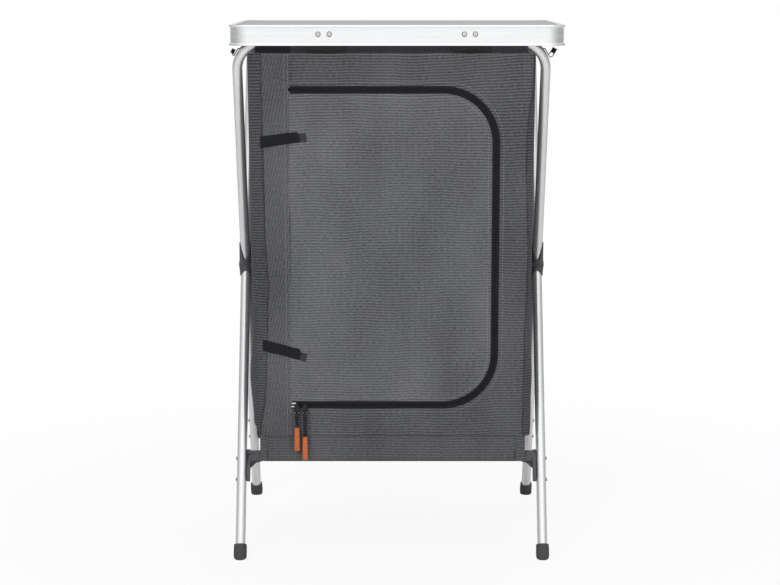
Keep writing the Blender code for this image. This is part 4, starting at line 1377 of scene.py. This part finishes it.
stitch_rows = {
    "flap_stitches": ("base_frame", [[surface(x, z, 0.0009 + creases(x, z)) for z in flap_heights]
                                     for x in (door_left - 0.0074, door_left - 0.0010)]),
    "zip_stitches_outer": ("base_frame", [zip_line(0.0137, door_left + 0.001, 0.0005, creases)]),
    "zip_stitches_inner": ("door", [zip_line(-0.0132, door_left + 0.002, 0.0005, door_folds)]),
    "top_stitches": ("base_frame", [level_line(-0.225, seam_height - 0.0028, 113)]),
}
for name, (body, lines) in stitch_rows.items():
    row(name, lines, stitch_size, stitch_pitch, pale_thread, body)
row("hem_stitches", [level_line(-0.232, panel_low + 0.0016, 117)], hem_stitch_size, stitch_pitch * 1.4,
    dark_thread, "base_frame")
for side in sides_of:
    line = [around(seam_at(side, z), z, 0.0003 + creases(seam_at(side, z), z))
            for z in rows(panel_low + 0.001, seam_height - 0.001, 0.6)]
    fold_flat(piece(f"corner_piping_{side}", sweep(bmesh.new(), line, y_way, 0.0010, 8), dark_thread,
                    "base_frame"))

# %% [markdown]
# ## Door straps
# Two straps of woven tape are sewn to the corner seam and lie over the door's fold. They are stitched
# to the door at their loose end.

# %% Straps
strap_left = -0.2360
strap_start = 0.0012
strap_length = 0.0720
tack_end = 0.0825
tack_size = (0.0038, 0.0019, 0.0012)
tack_pitch = 0.0030
strap_half = 0.0102
strap_lines = {"upper": (0.7570, radians(8.0)), "lower": (0.3848, radians(-14.0))}
across_strap = (-1.0, -0.9, -0.5, 0.0, 0.5, 0.9, 1.0)


def strap_point(name, along, across, lift):
    """A point on a strap, which lies on the creases of the flap and of the door."""
    height, tilt = strap_lines[name]
    x = strap_left + along * cos(tilt) - across * sin(tilt)
    z = height + along * sin(tilt) + across * cos(tilt)
    under = creases(x, z) + 0.0007 if x < door_left else max(door_folds(x, z), 0.0)
    return surface(x, z, lift + under)


for name in strap_lines:
    points = []
    for share in between(0.0, 1.0, 28):
        swell = 0.0019 + 0.0004 * sin(9 * share)
        line = []
        for place in across_strap:
            end = strap_length - 0.0040 * max(place, 0.0) ** 2
            beside_seam = strap_start + strap_half * place * sin(strap_lines[name][1])
            along = beside_seam + (end - beside_seam) * share
            across = strap_half * place * (1 - 0.06 * share)
            line.append((strap_point(name, along, across, swell - 0.0004 * place ** 4), along, across))
        points.append(line)
    fold_flat(piece(f"strap_webbing_{name}", sheet_mesh(points), strap_webbing, f"strap_{name}",
                    [f"door_strap_{name}"], thick=0.0013, sharp=60))
    lines = [[strap_point(name, along, across, 0.0020) for along in (0.0700, 0.0770, tack_end)]
             for across in (-0.0088, -0.0056, -0.0024, 0.0008, 0.0040)]
    row(f"strap_stitches_{name}", lines, tack_size, tack_pitch, tack_thread, f"strap_{name}")

# %% [markdown]
# ## Pulls of the zip
# Each slider carries a black lacquered plate with a ring at its lower end. A loop of black cord goes
# through the ring and runs as a close pair of strands into an orange rubber tab.

# %% Pull plates, rings, loops and tabs
plate_length = 0.0130
plate_half = 0.0050
plate_half_thick = 0.0008
plate_taper = 0.80
ring_radius = 0.0026
ring_wire = 0.0008
ring_drop = 0.0012
cord_radius = 0.0014
strand_gap = 0.0016


def hoop(centre, radius, wire, steps=24, sides=8):
    """A closed ring in the plane of the front."""
    bm = bmesh.new()
    rings = []
    for turn in full_turn(steps):
        out = Vector((cos(turn), 0, sin(turn)))
        rings.append([bm.verts.new(centre + radius * out + wire * (out * cos(side) + y_way * sin(side)))
                      for side in full_turn(sides)])
    skin(bm, rings + rings[:1])
    return bm


def copied(name):
    """The shape of a solid as a mesh of its own."""
    bm = bmesh.new()
    bm.from_mesh(nodes[name].data)
    bmesh.ops.remove_doubles(bm, verts=bm.verts, dist=weld_distance)
    return bm


for side in sides_of:
    body = f"pull_{side}"
    fold_flat(piece(f"slider_body_{side}", copied(f"zip_slider_{side}"), slider_lacquer, f"slider_{side}",
                    [f"zip_slider_{side}"], bevel=0.0004, sharp=38))
    fold_flat(piece(f"rubber_tab_{side}", copied(f"pull_tab_{side}"), tab_rubber, body,
                    [f"pull_tab_{side}"], bevel=0.0011, sharp=38))
    low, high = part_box(f"pull_cord_{side}")
    middle = (low + high) / 2
    plate_low = high.z - plate_length
    plate = block((middle.x - plate_half, middle.y - plate_half_thick, plate_low),
                  (middle.x + plate_half, middle.y + plate_half_thick, high.z))
    for vert in plate.verts:
        if vert.co.z > plate_low + 0.001:
            vert.co.x = middle.x + (vert.co.x - middle.x) * plate_taper
    fold_flat(piece(f"pull_plate_{side}", plate, slider_lacquer, body, bevel=0.0006))
    bend = plate_low - ring_drop
    ring = hoop(Vector((middle.x, middle.y, bend)), ring_radius, ring_wire)
    fold_flat(piece(f"pull_ring_{side}", ring, steel_metal, body))
    half_loop = [(strand_gap * sin(turn), bend - strand_gap * (1 - cos(turn)))
                 for turn in between(0.0, pi / 2, 6)]
    half_loop += [(strand_gap, z) for z in between(bend, low.z + 0.001, 12)[1:]]
    path = [(middle.x - out, middle.y - 0.0006, z) for out, z in half_loop[::-1]]
    path += [(middle.x + out, middle.y - 0.0006, z) for out, z in half_loop[1:]]
    fold_flat(piece(f"pull_loop_{side}", sweep(bmesh.new(), path, y_way, cord_radius, 10), black_tape, body,
                    [f"pull_cord_{side}"]))

# %% [markdown]
# ## Sleeve and hems
# The bar runs through a sleeve of the same cloth and the floor rail through a hem below. Both are
# loose tunnels, so their walls ripple a little along the bar.

# %% Sleeves round the bars
sleeve_bore = tube_radius + 0.0003
clip_half = 0.070 / 2 + 0.002
clip_places = (-0.130, 0.130)
column_step = 0.004


def lay_weave(bm, woven):
    """Puts each vertex's place in the weave into the cloth's weave map."""
    weave = bm.loops.layers.uv.new("weave")
    for face in bm.faces:
        for loop in face.loops:
            loop[weave].uv = woven[loop.vert]
    return bm


def sleeve_columns(half, notched):
    edges = {-half, half}
    if notched:
        for middle in clip_places:
            for reach in (-clip_half, clip_half):
                edges |= {middle - frame_shift + reach - 0.0001, middle - frame_shift + reach + 0.0001}
    stops = sorted(edges)
    columns = []
    for before, after in zip(stops, stops[1:]):
        columns += between(before, after, max(int((after - before) / column_step), 1))[:-1]
    return columns + [stops[-1]]


def make_sleeve(facing, half):
    """The tunnel of cloth; the front one is open above where a clip sits on the bar."""
    bm = bmesh.new()
    woven = {}
    rings = []
    notched = facing < 0
    for x in sleeve_columns(half, notched):
        covered = notched and any(abs(x + frame_shift - place) < clip_half for place in clip_places)
        first, last = (radians(215), radians(325)) if covered else (radians(91), radians(449))
        angles = between(first, last, 28)
        ring = []
        for layer in (sleeve_wall, 0.0):
            for turn in angles if layer else angles[::-1]:
                ripple = 0.0004 * (1 + sin(140 * x + 3 * turn)) if layer else 0.0
                radius = sleeve_bore + layer + ripple
                vert = bm.verts.new((frame_shift + x, facing * bar_depth + radius * cos(turn),
                                     bar_height + radius * sin(turn)))
                woven[vert] = (turn * radius, x)
                ring.append(vert)
        rings.append(ring)
    return lay_weave(capped(bm, rings), woven)


for word, facing in ends_of.items():
    low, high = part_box(f"{word}_sleeve")
    half = (high.x - low.x) / 2
    tunnel = piece(f"{word}_bar_sleeve", make_sleeve(facing, half), hem_cloth, frame_body[-facing],
                   [f"{word}_sleeve"], sharp=60)


# %% Hems round the floor rails
def make_hem(facing, half):
    """A band that comes down in front of the rail and goes round it, most of a turn."""
    bm = bmesh.new()
    bore = rail_radius + 0.0003
    outer = bore + sleeve_wall
    high = panel_low - rail_height - 0.0003
    woven = {}
    rings = []
    for x in between(-half, half, int(2 * half / column_step)):
        ripple = 0.0006 * sin(70 * x) + 0.0003 * sin(190 * x + 1)
        front = [(outer + ripple * eased(step / 4) * eased((10 - step) / 4), high * (1 - step / 10))
                 for step in range(10)]
        turns = between(0.0, -0.8 * 2 * pi, 24)
        outline = front + [((outer + abs(ripple) * 0.5) * cos(turn),
                            (arm_half if sin(turn) < 0 else outer) * sin(turn)) for turn in turns]
        outline += [(bore * cos(turn), bore * sin(turn)) for turn in reversed(turns)]
        outline.append((bore, high))
        ring = [bm.verts.new((frame_shift + x, facing * (rail_depth + out), rail_height + up))
                for out, up in outline]
        for vert, (out, up) in zip(ring, outline):
            woven[vert] = (x, up + 0.5 * out + 0.0012 * sin(13 * x))
        rings.append(ring)
    return lay_weave(capped(bm, rings), woven)


hem_ends = {"left": 0.0124, "right": 0.0164}
end_inset = 0.0068
for word, facing in ends_of.items():
    body = frame_body[facing]
    low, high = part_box(f"{word}_hem")
    half = (high.x - low.x) / 2
    band = piece(f"{word}_hem_band", make_hem(facing, half), hem_cloth, body, [f"{word}_hem"], sharp=60)
    for side, sign in sides_of.items():
        edge = []
        for z in rows(rail_height - arm_half + 0.0034, panel_low + 0.0010):
            over_arm = 0.0042 * eased((rail_height + arm_half + 0.006 - z) / 0.006)
            out = facing * (rail_depth + rail_radius + sleeve_wall + 0.0016 + over_arm + ridge(z))
            edge.append([(Vector((frame_shift + sign * (half - end_inset + past), out, z)), past, z)
                         for past in between(0.0, hem_ends[side], 4)])
        held_cloth(f"{word}_hem_end_{side}", edge, hem_cloth, body, (),
                   flat=(hem_ends[side], 0.047), rests_on=[f"{word}_hem_band"])

# %% [markdown]
# ## Floor and light
# A pale floor that turns into plain white away from the cupboard, for the camera only. The camera
# sees a white surround, and the gloss of the metal sees one that is darker at the sides. The lamps
# are large and soft.

# %% Floor
floor_radius = 9.0


def make_floor():
    bm = bmesh.new()
    bm.faces.new([bm.verts.new((floor_radius * cos(turn), floor_radius * sin(turn), 0))
                  for turn in full_turn(64)])
    return placed("floor", mesh_of("floor", bm))


def floor_finish():
    made = Finish("white floor", (0.75, 0.75, 0.75), 0.9)
    spot, _ = made.place()
    away = made.number(made.node("ShaderNodeVectorMath", {"operation": "LENGTH"}, {0: spot}).outputs["Value"])
    ray = made.node("ShaderNodeLightPath").outputs
    white = made.node("ShaderNodeEmission", values={"Strength": 1.0}).outputs[0]
    fade = made.node("ShaderNodeMapRange", {"interpolation_type": "SMOOTHSTEP"},
                     {"Value": away, "From Min": 0.5, "From Max": 1.6, "To Min": 0.90, "To Max": 1.0})
    share = made.number(fade.outputs["Result"])
    mixed = made.node("ShaderNodeMixShader", values={0: share * made.number(ray["Is Camera Ray"])})
    made.tree.links.new(made.shader.outputs[0], mixed.inputs[1])
    made.tree.links.new(white, mixed.inputs[2])
    made.tree.links.new(mixed.outputs[0], made.tree.nodes["Material Output"].inputs["Surface"])
    return made.material


floor = make_floor()
floor.data.materials.append(floor_finish())

# %% World and lamps
dark_sides = 0.24
bright_front = 0.64
bright_rear = 0.26
bright_above = 0.88
room_light = 0.55


def white_surround(level):
    """White for the camera, shaded for glossy rays, and one plain level for all other light."""
    world = bpy.data.worlds.new("surround")
    bpy.context.scene.world = world
    world.use_nodes = True
    tree = world.node_tree
    light = tree.nodes["Background"]
    ray = tree.nodes.new("ShaderNodeLightPath").outputs
    towards = tree.nodes.new("ShaderNodeSeparateXYZ")
    tree.links.new(tree.nodes.new("ShaderNodeTexCoord").outputs["Generated"], towards.inputs[0])
    ahead = Number(tree, towards.outputs["Y"])
    behind_camera = (0.0 - ahead).maths("MAXIMUM", 0.0 - ahead, 0.0)
    height = Number(tree, towards.outputs["Z"])
    overhead = height.maths("MAXIMUM", height, 0.0)
    room = behind_camera * behind_camera * bright_front + ahead * ahead * bright_rear
    room = room + overhead * bright_above + dark_sides
    camera_ray, glossy_ray = (Number(tree, ray[name]) for name in ("Is Camera Ray", "Is Glossy Ray"))
    unseen = glossy_ray * (room - level) + level
    strength = camera_ray * (1.0 - unseen) + unseen
    tree.links.new(strength.socket, light.inputs["Strength"])
    light.inputs["Color"].default_value = (1, 1, 1, 1)


def lamp(name, place, aim, size, power):
    data = bpy.data.lights.new(name, "AREA")
    data.shape = "DISK"
    data.size = size
    data.energy = power
    item = placed(name, data)
    item.location = place
    item.rotation_euler = (Vector(aim) - Vector(place)).to_track_quat("-Z", "Y").to_euler()
    item.visible_glossy = False


white_surround(room_light)
lamp("key", (-1.3, -3.2, 2.3), (0, 0, 0.5), 0.9, 62)
lamp("fill", (1.6, -3.0, 1.2), (0, 0, 0.5), 1.8, 30)
lamp("top", (0.3, 1.2, 3.0), (0, 0, 0.7), 1.5, 24)
bpy.context.scene.view_settings.view_transform = "Standard"
